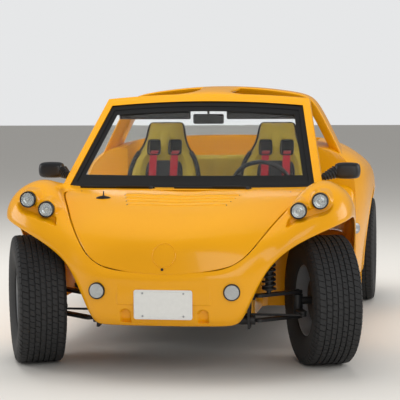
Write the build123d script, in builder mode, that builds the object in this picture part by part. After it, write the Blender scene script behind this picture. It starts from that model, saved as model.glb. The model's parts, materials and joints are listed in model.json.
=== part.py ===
# Doorless fibreglass buggy on a rear-engined floor pan, with a targa roof and twin-lamp wings.
# Millimetres. The ground is Z = 0, the nose points along -Y and the driver sits on the +X side.
from build123d import *
from math import atan2, cos, degrees, radians, sin
import os

os.makedirs("parts", exist_ok=True)

# Overall layout
overall_length = 3600
wheelbase = 2400
front_overhang = 500
front_axle_y = -overall_length / 2 + front_overhang
rear_axle_y = front_axle_y + wheelbase
front_track = 1549
rear_track = 1670
wall = 6
panel_gap = 5

# Wheels and tyres
tyre_radius = 344
tyre_width = 255
rim_radius = 190
rim_width = 190
rim_wall = 6
drum_radius = 112
stub_radius = 20
hub_bore = stub_radius + 1
slot_count = 8

# Steering: all three arms are parallel and of one length, so the tie rods only shift sideways
steer_angle = 20
kingpin_x = 640
steering_arm = 110
steering_arm_z = 285
pitman_x = 110
tie_rod_radius = 9
ball_radius = 16
ball_clearance = 1

# Body openings
arch_radius = 450
rear_arch_radius = 425
front_arch_inner_x = 460
rear_arch_inner_x = 640
cabin_half_width = 600
cabin_rear = 2500
bench_step = 2110
bench_floor_z = 470

# Screen
screen_foot_y = 450
screen_head_y = 1175
screen_foot_z = 886
screen_head_z = 1357
screen_foot_bow = 125
screen_head_bow = 75
glass_thickness = 10
seal_width = 30
seal_thickness = 26
frame_depth = 60

# Roof
hoop_front = 1745
hoop_rear = 2030
hoop_crown_z = 1452
spine_half_width = 85
spine_thickness = 46

# Floor pan
floor_z = 235
floor_thickness = 8
floor_half_width = 596
tunnel_half_width = 80
tunnel_height = 150

# Lamps
headlamp_radius = 42
headlamp_depth = 46
turn_lamp_radius = 40
turn_lamp_depth = 22


def station(distance):
    """Y of a station given as a distance behind the front axle."""
    return front_axle_y + distance


def across(distance):
    """Plane across the car at a station, with local X to +X and local Y up."""
    return Plane.XZ.offset(-station(distance))


def save(piece, name):
    piece.part.label = name
    export_step(piece.part, f"parts/{name}.step")


# Plan outlines of the nose and wings, from below the lower edge up:
# height, nose front, nose corner x and station, wing face x and station, widest x and its station
nose_bottom_z = 270
plan_rows = [
    (200, -458, 325, -444, 376, -410, 384, -342),
    (300, -476, 332, -458, 392, -417, 398, -342),
    (440, -494, 345, -472, 415, -424, 425, -324),
    (640, -486, 340, -456, 500, -384, 560, -294),
    (745, -474, 420, -414, 700, -280, 826, -120),
    (830, -464, 480, -380, 790, -200, 918, -20),
    (930, -454, 500, -345, 790, -136, 918, 30),
    (1040, -434, 500, -295, 770, 10, 872, 130),
]

# Heights of the front skin across the car, from the nose back past the screen foot:
# station, centre height, valley x and height, wing crown x and height, outer height
crown_rows = [
    (-520, 480, 300, 470, 500, 440, 360),
    (-455, 660, 300, 648, 520, 590, 480),
    (-300, 765, 380, 748, 620, 745, 640),
    (-60, 842, 560, 822, 775, 962, 790),
    (180, 882, 640, 862, 790, 985, 810),
    (560, 908, 700, 890, 790, 935, 790),
]
front_clip_rear = 520
nose_floor_z = 150
skin_half = 1000


def nose_plan(inset):
    """Solid stacked from the plan outlines, drawn in by inset."""
    with BuildPart() as stack:
        for level, front, corner_x, corner_y, face_x, face_y, wide_x, wide_y in plan_rows:
            with BuildSketch(Plane.XY.offset(level)):
                with BuildLine():
                    nose = (0, station(front + inset))
                    corner = (corner_x - inset / 2, station(corner_y + inset))
                    face = (face_x - inset / 2, station(face_y + inset))
                    wide = (wide_x - inset, station(wide_y + inset))
                    rear = (wide_x - inset, station(crown_rows[-1][0]))
                    Polyline(nose, corner, face, wide, rear, (0, rear[1]))
                    mirror(about=Plane.YZ)
                make_face()
        loft()
    return stack


def nose_crown(inset):
    """Solid under the front skin, drawn down by inset."""
    with BuildPart() as crown:
        for place, centre, valley_x, valley_z, pod_x, pod_z, outer_z in crown_rows:
            with BuildSketch(across(place)):
                with BuildLine():
                    Polyline(
                        (0, centre - inset),
                        (valley_x, valley_z - inset),
                        (pod_x, pod_z - inset),
                        (skin_half, outer_z - inset),
                        (skin_half, nose_floor_z),
                        (0, nose_floor_z),
                    )
                    mirror(about=Plane.YZ)
                make_face()
        loft()
    return crown


def nose_form(inset):
    """Nose and wings as one solid, drawn in by inset, past their lower and rear edges."""
    plan = nose_plan(inset)
    crown = nose_crown(inset)
    with BuildPart() as form:
        add(plan.part)
        add(crown.part, mode=Mode.INTERSECT)
    return form


def lamp_bores(piece_depth, radius, places):
    """Round bars along Y, one for each lamp and its mirror image."""
    with BuildPart() as bars:
        for x, place, z in places:
            with BuildSketch(across(place - piece_depth)):
                with Locations((x, z), (-x, z)):
                    Circle(radius)
            extrude(amount=-2 * piece_depth)
    return bars


def prism(outline, front, rear, grow=0):
    """Front-view outline of the +X half, mirrored and carried from one station to another."""
    with BuildPart() as block:
        with BuildSketch(across(front)):
            with BuildLine():
                Polyline(*outline)
                mirror(about=Plane.YZ)
            make_face()
            if grow:
                offset(amount=grow, kind=Kind.INTERSECTION)
        extrude(amount=front - rear)
    return block


# Front clip: nose and both wings in one hollow moulding, open below and to the cabin
headlamps = [(660, -245, 845), (772, -177, 894)]
turn_lamps = [(346, -466, 451)]
crown_outer = nose_crown(0)
nose_hollow = nose_form(wall)
nose_deep = nose_form(wall + panel_gap)
with BuildPart() as nose_outer:
    add(nose_form(0).part)
    with BuildSketch(Plane.XY.offset(nose_bottom_z)):
        with Locations((0, front_axle_y)):
            Rectangle(3 * skin_half, 3 * skin_half)
    extrude(amount=-nose_bottom_z, mode=Mode.SUBTRACT)
    with BuildSketch(across(front_clip_rear)):
        Rectangle(3 * skin_half, 3 * skin_half)
    extrude(amount=-200, mode=Mode.SUBTRACT)
with BuildPart() as front_arches:
    for side in (-1, 1):
        with BuildSketch(Plane.YZ.offset(side * front_arch_inner_x)):
            with Locations((front_axle_y, tyre_radius)):
                Circle(arch_radius)
        extrude(amount=side * 700)
with BuildPart() as front_arch_liners:
    for side in (-1, 1):
        with BuildSketch(Plane.YZ.offset(side * (front_arch_inner_x - wall))):
            with Locations((front_axle_y, tyre_radius)):
                Circle(arch_radius + wall)
        extrude(amount=side * 700)

plate_width = 300
plate_height = 150
plate_z = 388
plate_station = -497
suspension_gap_z = 470
bar_hole_spacing = 400
bar_hole_z = 296
bar_hole_radius = 7
with BuildPart() as front_shell:
    add(nose_outer.part)
    add(nose_hollow.part, mode=Mode.SUBTRACT)
    add(front_arches.part, mode=Mode.SUBTRACT)
    # Open bay for the axle beam between nose and floor pan
    with BuildSketch(Plane.XY.offset(200)):
        with Locations((0, station(115))):
            Rectangle(2000, 790)
    extrude(amount=suspension_gap_z - 200, mode=Mode.SUBTRACT)
    # Splash panels behind the wheels
    with BuildSketch(across(508)):
        with Locations((630, 545), (-630, 545)):
            Rectangle(440, 610)
    extrude(amount=-12)
    # Flat for the number plate
    with BuildSketch(across(plate_station)):
        with Locations((0, plate_z)):
            Rectangle(plate_width + 10, plate_height + 10)
    extrude(amount=-34)
    # Bolt holes for a front bar
    with BuildSketch(across(-600)):
        with Locations((bar_hole_spacing / 2, bar_hole_z), (-bar_hole_spacing / 2, bar_hole_z)):
            Circle(bar_hole_radius)
    extrude(amount=-200, mode=Mode.SUBTRACT)
    add(lamp_bores(60, headlamp_radius, headlamps).part, mode=Mode.SUBTRACT)
    add(lamp_bores(40, turn_lamp_radius, turn_lamps).part, mode=Mode.SUBTRACT)

hood_outline = [(0, 536), (200, 542), (350, 612), (524, 772), (675, 893), (675, 1200), (0, 1200)]
hood_rear = 300
hood_cut = prism(hood_outline, -600, hood_rear + panel_gap / 2, panel_gap / 2)
hood_core = prism(hood_outline, -600, hood_rear - panel_gap / 2, -panel_gap / 2)
with BuildPart() as hood_zone:
    add(hood_cut.part)
    add(nose_deep.part, mode=Mode.SUBTRACT)
with BuildPart() as front_clip:
    add(front_shell.part)
    add(hood_zone.part, mode=Mode.SUBTRACT)
save(front_clip, "front_clip")

# Inner wings: the walls and roofs of the front wheel wells
with BuildPart() as front_wheelhouses:
    add(nose_outer.part)
    add(nose_deep.part, mode=Mode.INTERSECT)
    add(front_arch_liners.part, mode=Mode.INTERSECT)
    add(front_arches.part, mode=Mode.SUBTRACT)
    # Clear of the axle and of the shock absorber towers
    with BuildSketch(Plane.XY.offset(nose_floor_z)):
        with Locations((0, front_axle_y)):
            Rectangle(3 * skin_half, 1200)
    extrude(amount=suspension_gap_z - nose_floor_z, mode=Mode.SUBTRACT)
    with BuildSketch(Plane.XY.offset(suspension_gap_z)):
        with Locations((455, station(-160)), (-455, station(-160))):
            Rectangle(60, 130)
    extrude(amount=200, mode=Mode.SUBTRACT)
save(front_wheelhouses, "front_wheelhouses")

with BuildPart() as hood:
    add(nose_outer.part)
    add(nose_hollow.part, mode=Mode.SUBTRACT)
    add(hood_core.part, mode=Mode.INTERSECT)
save(hood, "hood")

# Side panels: closed pontoons that fall from the scuttle to a low sill and rise to the rear wing
side_rows = [
    (front_clip_rear, 800, 840, 640, 920, 820, 800, 915, 880),
    (660, 800, 835, 600, 900, 780, 780, 850, 830),
    (860, 800, 822, 480, 838, 600, 780, 650, 640),
    (1250, 800, 818, 450, 822, 560, 770, 600, 590),
    (1600, 820, 835, 480, 845, 600, 780, 660, 650),
    (1720, 845, 862, 560, 868, 760, 800, 840, 820),
]
with BuildPart() as side_panels:
    for side in (-1, 1):
        for place, foot_x, mid_x, mid_z, high_x, high_z, crown_x, crown_z, inner_z in side_rows:
            with BuildSketch(across(place)):
                with BuildLine():
                    Polyline(
                        (side * cabin_half_width, floor_z),
                        (side * foot_x, floor_z),
                        (side * mid_x, mid_z),
                        (side * high_x, high_z),
                        (side * crown_x, crown_z),
                        (side * cabin_half_width, inner_z),
                        close=True,
                    )
                make_face()
        loft(ruled=True)
save(side_panels, "side_panels")

# Rear body: both quarters, deck and tail in one hollow moulding around the rear seat
rear_rows = [
    (1680, 1082, 560, 1070, 735, 1038, 856, 880, 856, 232),
    (1760, 1090, 562, 1078, 745, 1040, 880, 880, 868, 238),
    (2050, 1110, 580, 1095, 775, 1045, 945, 880, 905, 260),
    (2450, 1110, 580, 1095, 780, 1035, 966, 860, 940, 300),
    (2800, 1050, 540, 1035, 740, 975, 930, 810, 890, 360),
    (3060, 925, 465, 910, 630, 860, 790, 730, 760, 415),
]
rear_front = 1720
rear_end = 3040
rear_floor_z = 150


def rear_form(inset):
    """Outer form of the rear body, drawn in by inset; the hollow one runs down past the floor."""
    with BuildPart() as form:
        for place, deck, edge_x, edge_z, brow_x, brow_z, side_x, side_z, foot_x, foot_z in rear_rows:
            foot = foot_z if inset == 0 else rear_floor_z
            foot_reach = foot_x - inset - (foot_z - foot) * (side_x - foot_x) / (side_z - foot_z)
            with BuildSketch(across(place)):
                with BuildLine():
                    Polyline(
                        (0, deck - inset),
                        (edge_x - inset / 2, edge_z - inset),
                        (brow_x - inset, brow_z - inset),
                        (side_x - inset, side_z),
                        (foot_reach, foot),
                        (0, foot),
                    )
                    mirror(about=Plane.YZ)
                make_face()
        loft()
        trim = wall if inset else 0
        with BuildSketch(across(rear_front + trim)):
            Rectangle(3 * skin_half, 3 * skin_half)
        extrude(amount=200, mode=Mode.SUBTRACT)
        with BuildSketch(across(rear_end - trim)):
            Rectangle(3 * skin_half, 3 * skin_half)
        extrude(amount=-200, mode=Mode.SUBTRACT)
    return form


def cabin_space(grow):
    """Seat well through the rear body: open to the floor in front, stepped up over the gearbox."""
    with BuildPart() as space:
        with BuildSketch(Plane.YZ.offset(-cabin_half_width - grow)):
            with BuildLine():
                Polyline(
                    (station(1650), 150),
                    (station(bench_step) + grow, 150),
                    (station(bench_step) + grow, bench_floor_z - grow),
                    (station(cabin_rear) + grow, bench_floor_z - grow),
                    (station(cabin_rear) + grow, 1400),
                    (station(1650), 1400),
                    close=True,
                )
            make_face()
        extrude(amount=2 * (cabin_half_width + grow))
    return space


def wheel_spaces(grow):
    """Drums around both rear wheels."""
    with BuildPart() as drums:
        for side in (-1, 1):
            with BuildSketch(Plane.YZ.offset(side * (rear_arch_inner_x - grow))):
                with Locations((rear_axle_y, tyre_radius)):
                    Circle(rear_arch_radius + grow)
            extrude(amount=side * 700)
    return drums


rear_outer = rear_form(0)
rear_hollow = rear_form(wall)
axle_slot_z = 480
with BuildPart() as axle_gap:
    # Axle tubes, arms and gearbox pass under the seat well and through the inner wings
    with BuildSketch(Plane.XY.offset(rear_floor_z)):
        with Locations((0, (station(bench_step - 20) + station(2560)) / 2)):
            Rectangle(2 * cabin_half_width + 2 * wall, 470)
    extrude(amount=bench_floor_z - wall - rear_floor_z)
    with BuildSketch(Plane.XY.offset(rear_floor_z)):
        with Locations((710, rear_axle_y), (-710, rear_axle_y)):
            Rectangle(200, 980)
    extrude(amount=axle_slot_z - rear_floor_z)
with BuildPart() as rear_shell:
    add(rear_outer.part)
    add(rear_hollow.part, mode=Mode.SUBTRACT)
    add(cabin_space(0).part, mode=Mode.SUBTRACT)
    add(wheel_spaces(0).part, mode=Mode.SUBTRACT)
    add(axle_gap.part, mode=Mode.SUBTRACT)

# Inner mouldings of the rear body: the tub that holds the rear seat, and the inner wings
with BuildPart() as seat_tub:
    add(cabin_space(wall).part)
    add(rear_hollow.part, mode=Mode.INTERSECT)
    add(cabin_space(0).part, mode=Mode.SUBTRACT)
    add(axle_gap.part, mode=Mode.SUBTRACT)
save(seat_tub, "seat_tub")

with BuildPart() as rear_wheelhouses:
    add(wheel_spaces(wall).part)
    add(rear_hollow.part, mode=Mode.INTERSECT)
    add(wheel_spaces(0).part, mode=Mode.SUBTRACT)
    add(axle_gap.part, mode=Mode.SUBTRACT)
save(rear_wheelhouses, "rear_wheelhouses")

lid_front = 2570
lid_rear = 3010
lid_half_width = 400


def lid_block(grow):
    """Upright block through the engine lid."""
    with BuildPart() as block:
        with BuildSketch(Plane.XY.offset(700)):
            with Locations((0, (station(lid_front) + station(lid_rear)) / 2)):
                Rectangle(2 * (lid_half_width + grow), lid_rear - lid_front + 2 * grow)
        extrude(amount=500)
    return block


tail_lamps = [(560, 700, 45)]
with BuildPart() as rear_body:
    add(rear_shell.part)
    add(lid_block(panel_gap / 2).part, mode=Mode.SUBTRACT)
save(rear_body, "rear_body")

with BuildPart() as engine_lid:
    add(rear_shell.part)
    add(lid_block(-panel_gap / 2).part, mode=Mode.INTERSECT)
    with BuildSketch(Plane.XY.offset(800)):
        with Locations((0, (station(lid_front) + station(lid_rear)) / 2)):
            with GridLocations(300, 40, 2, 7):
                SlotOverall(220, 14)
    extrude(amount=400, mode=Mode.SUBTRACT)
save(engine_lid, "engine_lid")


# Screen: all its pieces are cut from slabs that follow one curved, raked surface
def screen_slab(depth, front=0):
    """Curved slab along the screen, with its depth measured along Y."""
    run = screen_head_y - screen_foot_y
    rise = screen_head_z - screen_foot_z
    with BuildPart() as slab:
        for level in (screen_foot_z - 40, screen_head_z + 70):
            share = (level - screen_foot_z) / rise
            edge_y = station(screen_foot_y + run * share + front)
            bow = screen_foot_bow + (screen_head_bow - screen_foot_bow) * share
            half = 780
            with BuildSketch(Plane.XY.offset(level)):
                with BuildLine():
                    ThreePointArc((-half, edge_y), (0, edge_y - bow), (half, edge_y))
                    Line((half, edge_y), (half, edge_y + depth))
                    ThreePointArc((half, edge_y + depth), (0, edge_y + depth - bow), (-half, edge_y + depth))
                    Line((-half, edge_y + depth), (-half, edge_y))
                make_face()
        loft(ruled=True)
    return slab


def screen_outline(grow):
    """Front view of the opening, as a prism along Y, grown or drawn in."""
    with BuildPart() as outline:
        with BuildSketch(across(0)):
            with BuildLine():
                foot = (700, 900)
                head = (578, 1346)
                Line((0, foot[1]), foot)
                Line(foot, head)
                ThreePointArc(head, (0, 1372), (-head[0], head[1]))
                Line((-head[0], head[1]), (-foot[0], foot[1]))
                Line((-foot[0], foot[1]), (0, foot[1]))
            make_face()
            if grow:
                offset(amount=grow, kind=Kind.INTERSECTION)
        extrude(amount=-1400)
    return outline


frame_border = 42
with BuildPart() as screen_frame:
    add(screen_slab(frame_depth).part)
    add(screen_outline(frame_border).part, mode=Mode.INTERSECT)
    add(screen_outline(0).part, mode=Mode.SUBTRACT)
    add(crown_outer.part, mode=Mode.SUBTRACT)
    add(side_panels.part, mode=Mode.SUBTRACT)
save(screen_frame, "screen_frame")

glass_front = (frame_depth - glass_thickness) / 2
glass_grip = 12
with BuildPart() as windscreen_glass:
    add(screen_slab(glass_thickness, glass_front).part)
    add(screen_outline(-glass_grip).part, mode=Mode.INTERSECT)
save(windscreen_glass, "windscreen_glass")

with BuildPart() as windscreen_seal:
    add(screen_slab(seal_thickness, (frame_depth - seal_thickness) / 2).part)
    add(screen_outline(0).part, mode=Mode.INTERSECT)
    add(screen_outline(-seal_width).part, mode=Mode.SUBTRACT)
    add(windscreen_glass.part, mode=Mode.SUBTRACT)
save(windscreen_seal, "windscreen_seal")

# Roof: a hoop across the car behind the seats and a spine forward to the screen
hoop_outer = [(785, 1000), (640, 1300), (575, 1385), (470, 1412)]
hoop_inner = [(715, 1000), (580, 1275), (530, 1330), (440, 1352)]
with BuildPart() as roof_hoop:
    with BuildSketch(across(hoop_front)):
        with BuildLine():
            foot, knee, corner, top = hoop_outer
            Line(foot, knee)
            ThreePointArc(knee, corner, top)
            ThreePointArc(top, (0, hoop_crown_z), (-top[0], top[1]))
            ThreePointArc((-top[0], top[1]), (-corner[0], corner[1]), (-knee[0], knee[1]))
            Line((-knee[0], knee[1]), (-foot[0], foot[1]))
            foot_in, knee_in, corner_in, top_in = hoop_inner
            Line((-foot[0], foot[1]), (-foot_in[0], foot_in[1]))
            Line((-foot_in[0], foot_in[1]), (-knee_in[0], knee_in[1]))
            ThreePointArc((-knee_in[0], knee_in[1]), (-corner_in[0], corner_in[1]), (-top_in[0], top_in[1]))
            ThreePointArc((-top_in[0], top_in[1]), (0, hoop_crown_z - 58), top_in)
            ThreePointArc(top_in, corner_in, knee_in)
            Line(knee_in, foot_in)
            Line(foot_in, foot)
        make_face()
    extrude(amount=hoop_front - hoop_rear)
    add(rear_outer.part, mode=Mode.SUBTRACT)
save(roof_hoop, "roof_hoop")

with BuildPart() as roof_spine:
    for place, half, top in ((1080, 150, 1402), (1300, spine_half_width, 1424), (hoop_front, spine_half_width + 15, 1450)):
        with BuildSketch(across(place)):
            with BuildLine():
                ThreePointArc((-half, top - 6), (0, top), (half, top - 6))
                Line((half, top - 6), (half, top - spine_thickness))
                ThreePointArc((half, top - spine_thickness), (0, top + 4 - spine_thickness), (-half, top - spine_thickness))
                Line((-half, top - spine_thickness), (-half, top - 6))
            make_face()
    loft(ruled=True)
    add(screen_slab(3000, (frame_depth - seal_thickness) / 2 + seal_thickness).part, mode=Mode.INTERSECT)
    add(screen_frame.part, mode=Mode.SUBTRACT)
save(roof_spine, "roof_spine")

# Lamps, plate and trim
def lamp_discs(name, radius, places, front, depth):
    """Round pieces at each lamp place, from front to front + depth along Y."""
    with BuildPart() as discs:
        for x, place, z in places:
            with BuildSketch(across(place + front)):
                with Locations((x, z), (-x, z)):
                    Circle(radius)
            extrude(amount=-depth)
    save(discs, name)


lens_depth = 8
lamp_discs("headlamp_bowls", headlamp_radius, headlamps, -18, headlamp_depth)
lamp_discs("headlamp_lenses", headlamp_radius - 4, headlamps, -18 - lens_depth, lens_depth)
lamp_discs("turn_lamps", turn_lamp_radius, turn_lamps, -24, turn_lamp_depth + 20)

with BuildPart() as number_plate:
    with BuildSketch(across(plate_station - 3)):
        with Locations((0, plate_z)):
            RectangleRounded(plate_width, plate_height, 10)
    extrude(amount=-3)
save(number_plate, "number_plate")

with BuildPart() as tail_lights:
    for side in (-1, 1):
        for level in (600, 690):
            with BuildSketch(across(3055)):
                with Locations((side * 560, level)):
                    Circle(38)
            extrude(amount=15)
save(tail_lights, "tail_lamps")

mirror_station = 600
mirror_z = 990
with BuildPart() as side_mirrors:
    for side in (-1, 1):
        with BuildSketch(across(mirror_station - 40)):
            with Locations((side * 865, mirror_z)):
                RectangleRounded(150, 94, 28)
        extrude(amount=-70)
        with BuildSketch(Plane.YZ.offset(side * 670)):
            with Locations((station(mirror_station), mirror_z)):
                Circle(13)
        extrude(amount=side * 130)
    add(screen_frame.part, mode=Mode.SUBTRACT)
    add(windscreen_seal.part, mode=Mode.SUBTRACT)
    add(screen_outline(0).part, mode=Mode.SUBTRACT)
save(side_mirrors, "side_mirrors")

# Wheels: like wheels share one function, with the spin axis given by the steering angle
def wheel_plane(x, y, turn):
    """Plane holding the spin axis (local X) and straight up (local Y)."""
    return Plane(origin=(x, y, tyre_radius), x_dir=(cos(radians(turn)), sin(radians(turn)), 0),
                 z_dir=(sin(radians(turn)), -cos(radians(turn)), 0))


def build_wheel(name, x, y, turn):
    side = 1 if x > 0 else -1
    centre = wheel_plane(x, y, turn)
    axle = Axis(centre.origin, centre.x_dir)
    with BuildPart() as tyre:
        with BuildSketch(centre):
            with BuildLine():
                half = tyre_width / 2
                Line((-rim_width / 2, rim_radius), (rim_width / 2, rim_radius))
                ThreePointArc((rim_width / 2, rim_radius), (half, 262), (half - 10, 318))
                ThreePointArc((half - 10, 318), (half - 18, 332), (half - 32, 338))
                ThreePointArc((half - 32, 338), (0, tyre_radius), (32 - half, 338))
                ThreePointArc((32 - half, 338), (18 - half, 332), (10 - half, 318))
                ThreePointArc((10 - half, 318), (-half, 262), (-rim_width / 2, rim_radius))
            make_face()
        revolve(axis=axle)
    save(tyre, f"tyre_{name}")
    with BuildPart() as rim:
        with BuildSketch(centre):
            with BuildLine():
                rim_profile = [
                    (rim_width / 2, rim_radius),
                    (-rim_width / 2, rim_radius),
                    (-rim_width / 2, rim_radius - rim_wall),
                    (20, rim_radius - rim_wall),
                    (34, rim_radius - 18),
                    (24, drum_radius),
                    (-36, drum_radius),
                    (-36, hub_bore),
                    (30, hub_bore),
                    (30, 0),
                    (66, 0),
                    (66, 52),
                    (50, 96),
                    (48, rim_radius - 24),
                    (62, rim_radius - rim_wall),
                    (rim_width / 2, rim_radius - rim_wall),
                ]
                Polyline(*[(side * along, out) for along, out in rim_profile], close=True)
            make_face()
        revolve(axis=axle)
        face = Plane(origin=centre.origin + centre.x_dir * (side * 80), x_dir=(0, 0, 1), z_dir=centre.x_dir)
        with BuildSketch(face):
            with PolarLocations(139, slot_count):
                SlotOverall(46, 30)
        extrude(amount=-side * 60, mode=Mode.SUBTRACT)
    save(rim, f"rim_{name}")


front_offset = front_track / 2 - kingpin_x
front_wheels = []
for side, name in ((-1, "front_right"), (1, "front_left")):
    x = side * (kingpin_x + front_offset * cos(radians(steer_angle)))
    y = front_axle_y + side * front_offset * sin(radians(steer_angle))
    front_wheels.append((name, x, y))
    build_wheel(name, x, y, steer_angle)
for side, name in ((-1, "rear_right"), (1, "rear_left")):
    build_wheel(name, side * rear_track / 2, rear_axle_y, 0)

# Front axle: two cross tubes with trailing arms, knuckles and steering
beam_station = -160
beam_levels = (262, 392)
beam_radius = 24
beam_half = 430
arm_thickness = 16
with BuildPart() as front_beam:
    for level in beam_levels:
        with BuildSketch(Plane.YZ.offset(-beam_half)):
            with Locations((station(beam_station), level)):
                Circle(beam_radius)
        extrude(amount=2 * beam_half)
    for x in (-400, 400):
        with BuildSketch(Plane.YZ.offset(x - 6)):
            with Locations((station(beam_station - 8), 440)):
                Rectangle(74, 440)
        extrude(amount=12)
    for x in (-420, 420):
        with BuildSketch(Plane.XY.offset(640)):
            with Locations((x * 1.12, station(beam_station))):
                Rectangle(110, 70)
        extrude(amount=8)
save(front_beam, "front_beam")

arm_foot = (455, station(beam_station))
arm_head = (kingpin_x, front_axle_y)
arm_run = (arm_head[0] - arm_foot[0], arm_head[1] - arm_foot[1])
with BuildPart() as front_arms:
    for side in (-1, 1):
        for level in beam_levels:
            with BuildSketch(Plane.XY.offset(level - arm_thickness / 2)):
                with Locations((side * (arm_foot[0] + arm_head[0]) / 2, (arm_foot[1] + arm_head[1]) / 2)):
                    SlotCenterToCenter(
                        (arm_run[0] ** 2 + arm_run[1] ** 2) ** 0.5,
                        48,
                        rotation=side * degrees(atan2(arm_run[1], arm_run[0])),
                    )
                with Locations((side * kingpin_x, front_axle_y)):
                    Circle(10, mode=Mode.SUBTRACT)
            extrude(amount=arm_thickness)
    add(front_beam.part, mode=Mode.SUBTRACT)
save(front_arms, "front_arms")

rod_levels = {"right": 299, "left": 283}
arm_dx = steering_arm * sin(radians(steer_angle))
arm_dy = -steering_arm * cos(radians(steer_angle))
for side, name in ((-1, "right"), (1, "left")):
    rod_level = rod_levels[name]
    pivot = (side * kingpin_x, front_axle_y)
    with BuildPart() as knuckle:
        with BuildSketch(Plane.XY.offset(beam_levels[0] + arm_thickness / 2 + 6)):
            with Locations(pivot):
                Circle(26)
        extrude(amount=beam_levels[1] - beam_levels[0] - arm_thickness - 12)
        with BuildSketch(Plane.XY.offset(beam_levels[0] - 14)):
            with Locations(pivot):
                Circle(9)
        extrude(amount=beam_levels[1] - beam_levels[0] + 28)
        spindle = Plane(origin=(pivot[0], pivot[1], tyre_radius),
                        x_dir=(0, 0, 1),
                        z_dir=(side * cos(radians(steer_angle)), side * sin(radians(steer_angle)), 0))
        with BuildSketch(spindle):
            Circle(stub_radius)
        extrude(amount=front_offset + 20)
        with BuildSketch(spindle.offset(84)):
            Circle(drum_radius + 4)
        extrude(amount=8)
        with BuildSketch(Plane.XY.offset(rod_level + 9)):
            with Locations((pivot[0] + arm_dx / 2, pivot[1] + arm_dy / 2)):
                SlotCenterToCenter(steering_arm, 36, rotation=degrees(atan2(arm_dy, arm_dx)))
        extrude(amount=12)
        with BuildSketch(Plane.XY.offset(rod_level - 8)):
            with Locations((pivot[0] + arm_dx, pivot[1] + arm_dy)):
                Circle(6)
        extrude(amount=20)
    save(knuckle, f"knuckle_{name}")

pitman_end = (pitman_x + arm_dx, front_axle_y + arm_dy)
with BuildPart() as pitman_arm:
    with BuildSketch(Plane.XY.offset(262)):
        with Locations((pitman_x + arm_dx / 2, front_axle_y + arm_dy / 2)):
            SlotCenterToCenter(steering_arm, 36, rotation=degrees(atan2(arm_dy, arm_dx)))
    extrude(amount=12)
    with BuildSketch(Plane.XY.offset(262)):
        with Locations(pitman_end):
            Circle(6)
    extrude(amount=46)
    with BuildSketch(Plane.XY.offset(262)):
        with Locations((pitman_x, front_axle_y)):
            Circle(12)
    extrude(amount=58)
save(pitman_arm, "pitman_arm")

for side, name in ((-1, "right"), (1, "left")):
    rod_end = (side * kingpin_x + arm_dx, front_axle_y + arm_dy)
    with BuildPart() as tie_rod:
        with BuildSketch(Plane.YZ.offset(min(rod_end[0], pitman_end[0]))):
            with Locations((rod_end[1], rod_levels[name])):
                Circle(6)
        extrude(amount=abs(rod_end[0] - pitman_end[0]))
        with BuildSketch(Plane.XY.offset(rod_levels[name] - 6)):
            with Locations(rod_end, pitman_end):
                Circle(ball_radius)
        extrude(amount=12)
        with BuildSketch(Plane.XY.offset(rod_levels[name] - 6)):
            with Locations(rod_end, pitman_end):
                Circle(6 + ball_clearance)
        extrude(amount=12, mode=Mode.SUBTRACT)
    save(tie_rod, f"tie_rod_{name}")

with BuildPart() as steering_box:
    with BuildSketch(Plane.XY.offset(322)):
        with Locations((pitman_x, front_axle_y)):
            RectangleRounded(110, 90, 20)
    extrude(amount=90)
save(steering_box, "steering_box")

# Floor pan with tunnel
with BuildPart() as floor_pan:
    with BuildSketch(Plane.XY.offset(floor_z)):
        with Locations((0, (station(front_clip_rear) + station(2085)) / 2)):
            Rectangle(2 * floor_half_width, 2085 - front_clip_rear)
        with Locations((0, (station(70) + station(front_clip_rear)) / 2)):
            Rectangle(760, front_clip_rear - 70)
    extrude(amount=floor_thickness)
    with BuildSketch(Plane.XY.offset(floor_z)):
        with Locations((0, (station(70) + station(2085)) / 2)):
            Rectangle(2 * tunnel_half_width, 2015)
    extrude(amount=tunnel_height)
    with BuildSketch(Plane.XY.offset(floor_z)):
        with Locations((0, (station(70) + station(2085)) / 2)):
            Rectangle(2 * tunnel_half_width - 2 * wall, 2015)
    extrude(amount=tunnel_height - wall, mode=Mode.SUBTRACT)
    # Toe board
    with BuildSketch(Plane.YZ.offset(-380)):
        with BuildLine():
            Polyline(
                (station(120), floor_z),
                (station(60), 470),
                (station(60) + 8, 470),
                (station(128), floor_z),
                close=True,
            )
        make_face()
    extrude(amount=760)
save(floor_pan, "floor_pan")

# Dashboard under the screen
with BuildPart() as dashboard:
    with BuildSketch(Plane.YZ.offset(-590)):
        with BuildLine():
            Polyline(
                (station(front_clip_rear + 1), 700),
                (station(600), 690),
                (station(650), 730),
                (station(640), 830),
                (station(front_clip_rear + 1), 870),
                close=True,
            )
        make_face()
    extrude(amount=1180)
save(dashboard, "dashboard")

# Steering wheel and column
column_angle = 28
wheel_hub = (340, station(1050), 860)
column_dir = (0, cos(radians(column_angle)), sin(radians(column_angle)))
hub_plane = Plane(origin=wheel_hub, x_dir=(1, 0, 0), z_dir=column_dir)
with BuildPart() as steering_wheel:
    with BuildSketch(Plane(origin=wheel_hub, x_dir=(1, 0, 0), z_dir=(0, sin(radians(column_angle)), -cos(radians(column_angle))))):
        with Locations((176, 0)):
            Circle(13)
    revolve(axis=Axis(wheel_hub, column_dir))
    with BuildSketch(hub_plane.offset(-12)):
        Circle(34)
        with PolarLocations(90, 3, start_angle=90):
            Rectangle(170, 26)
    extrude(amount=6)
    with BuildSketch(hub_plane.offset(-60)):
        Circle(34)
    extrude(amount=62)
save(steering_wheel, "steering_wheel")

with BuildPart() as steering_column:
    with BuildSketch(hub_plane.offset(-66)):
        Circle(26)
    extrude(amount=-560)
save(steering_column, "steering_column")

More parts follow.
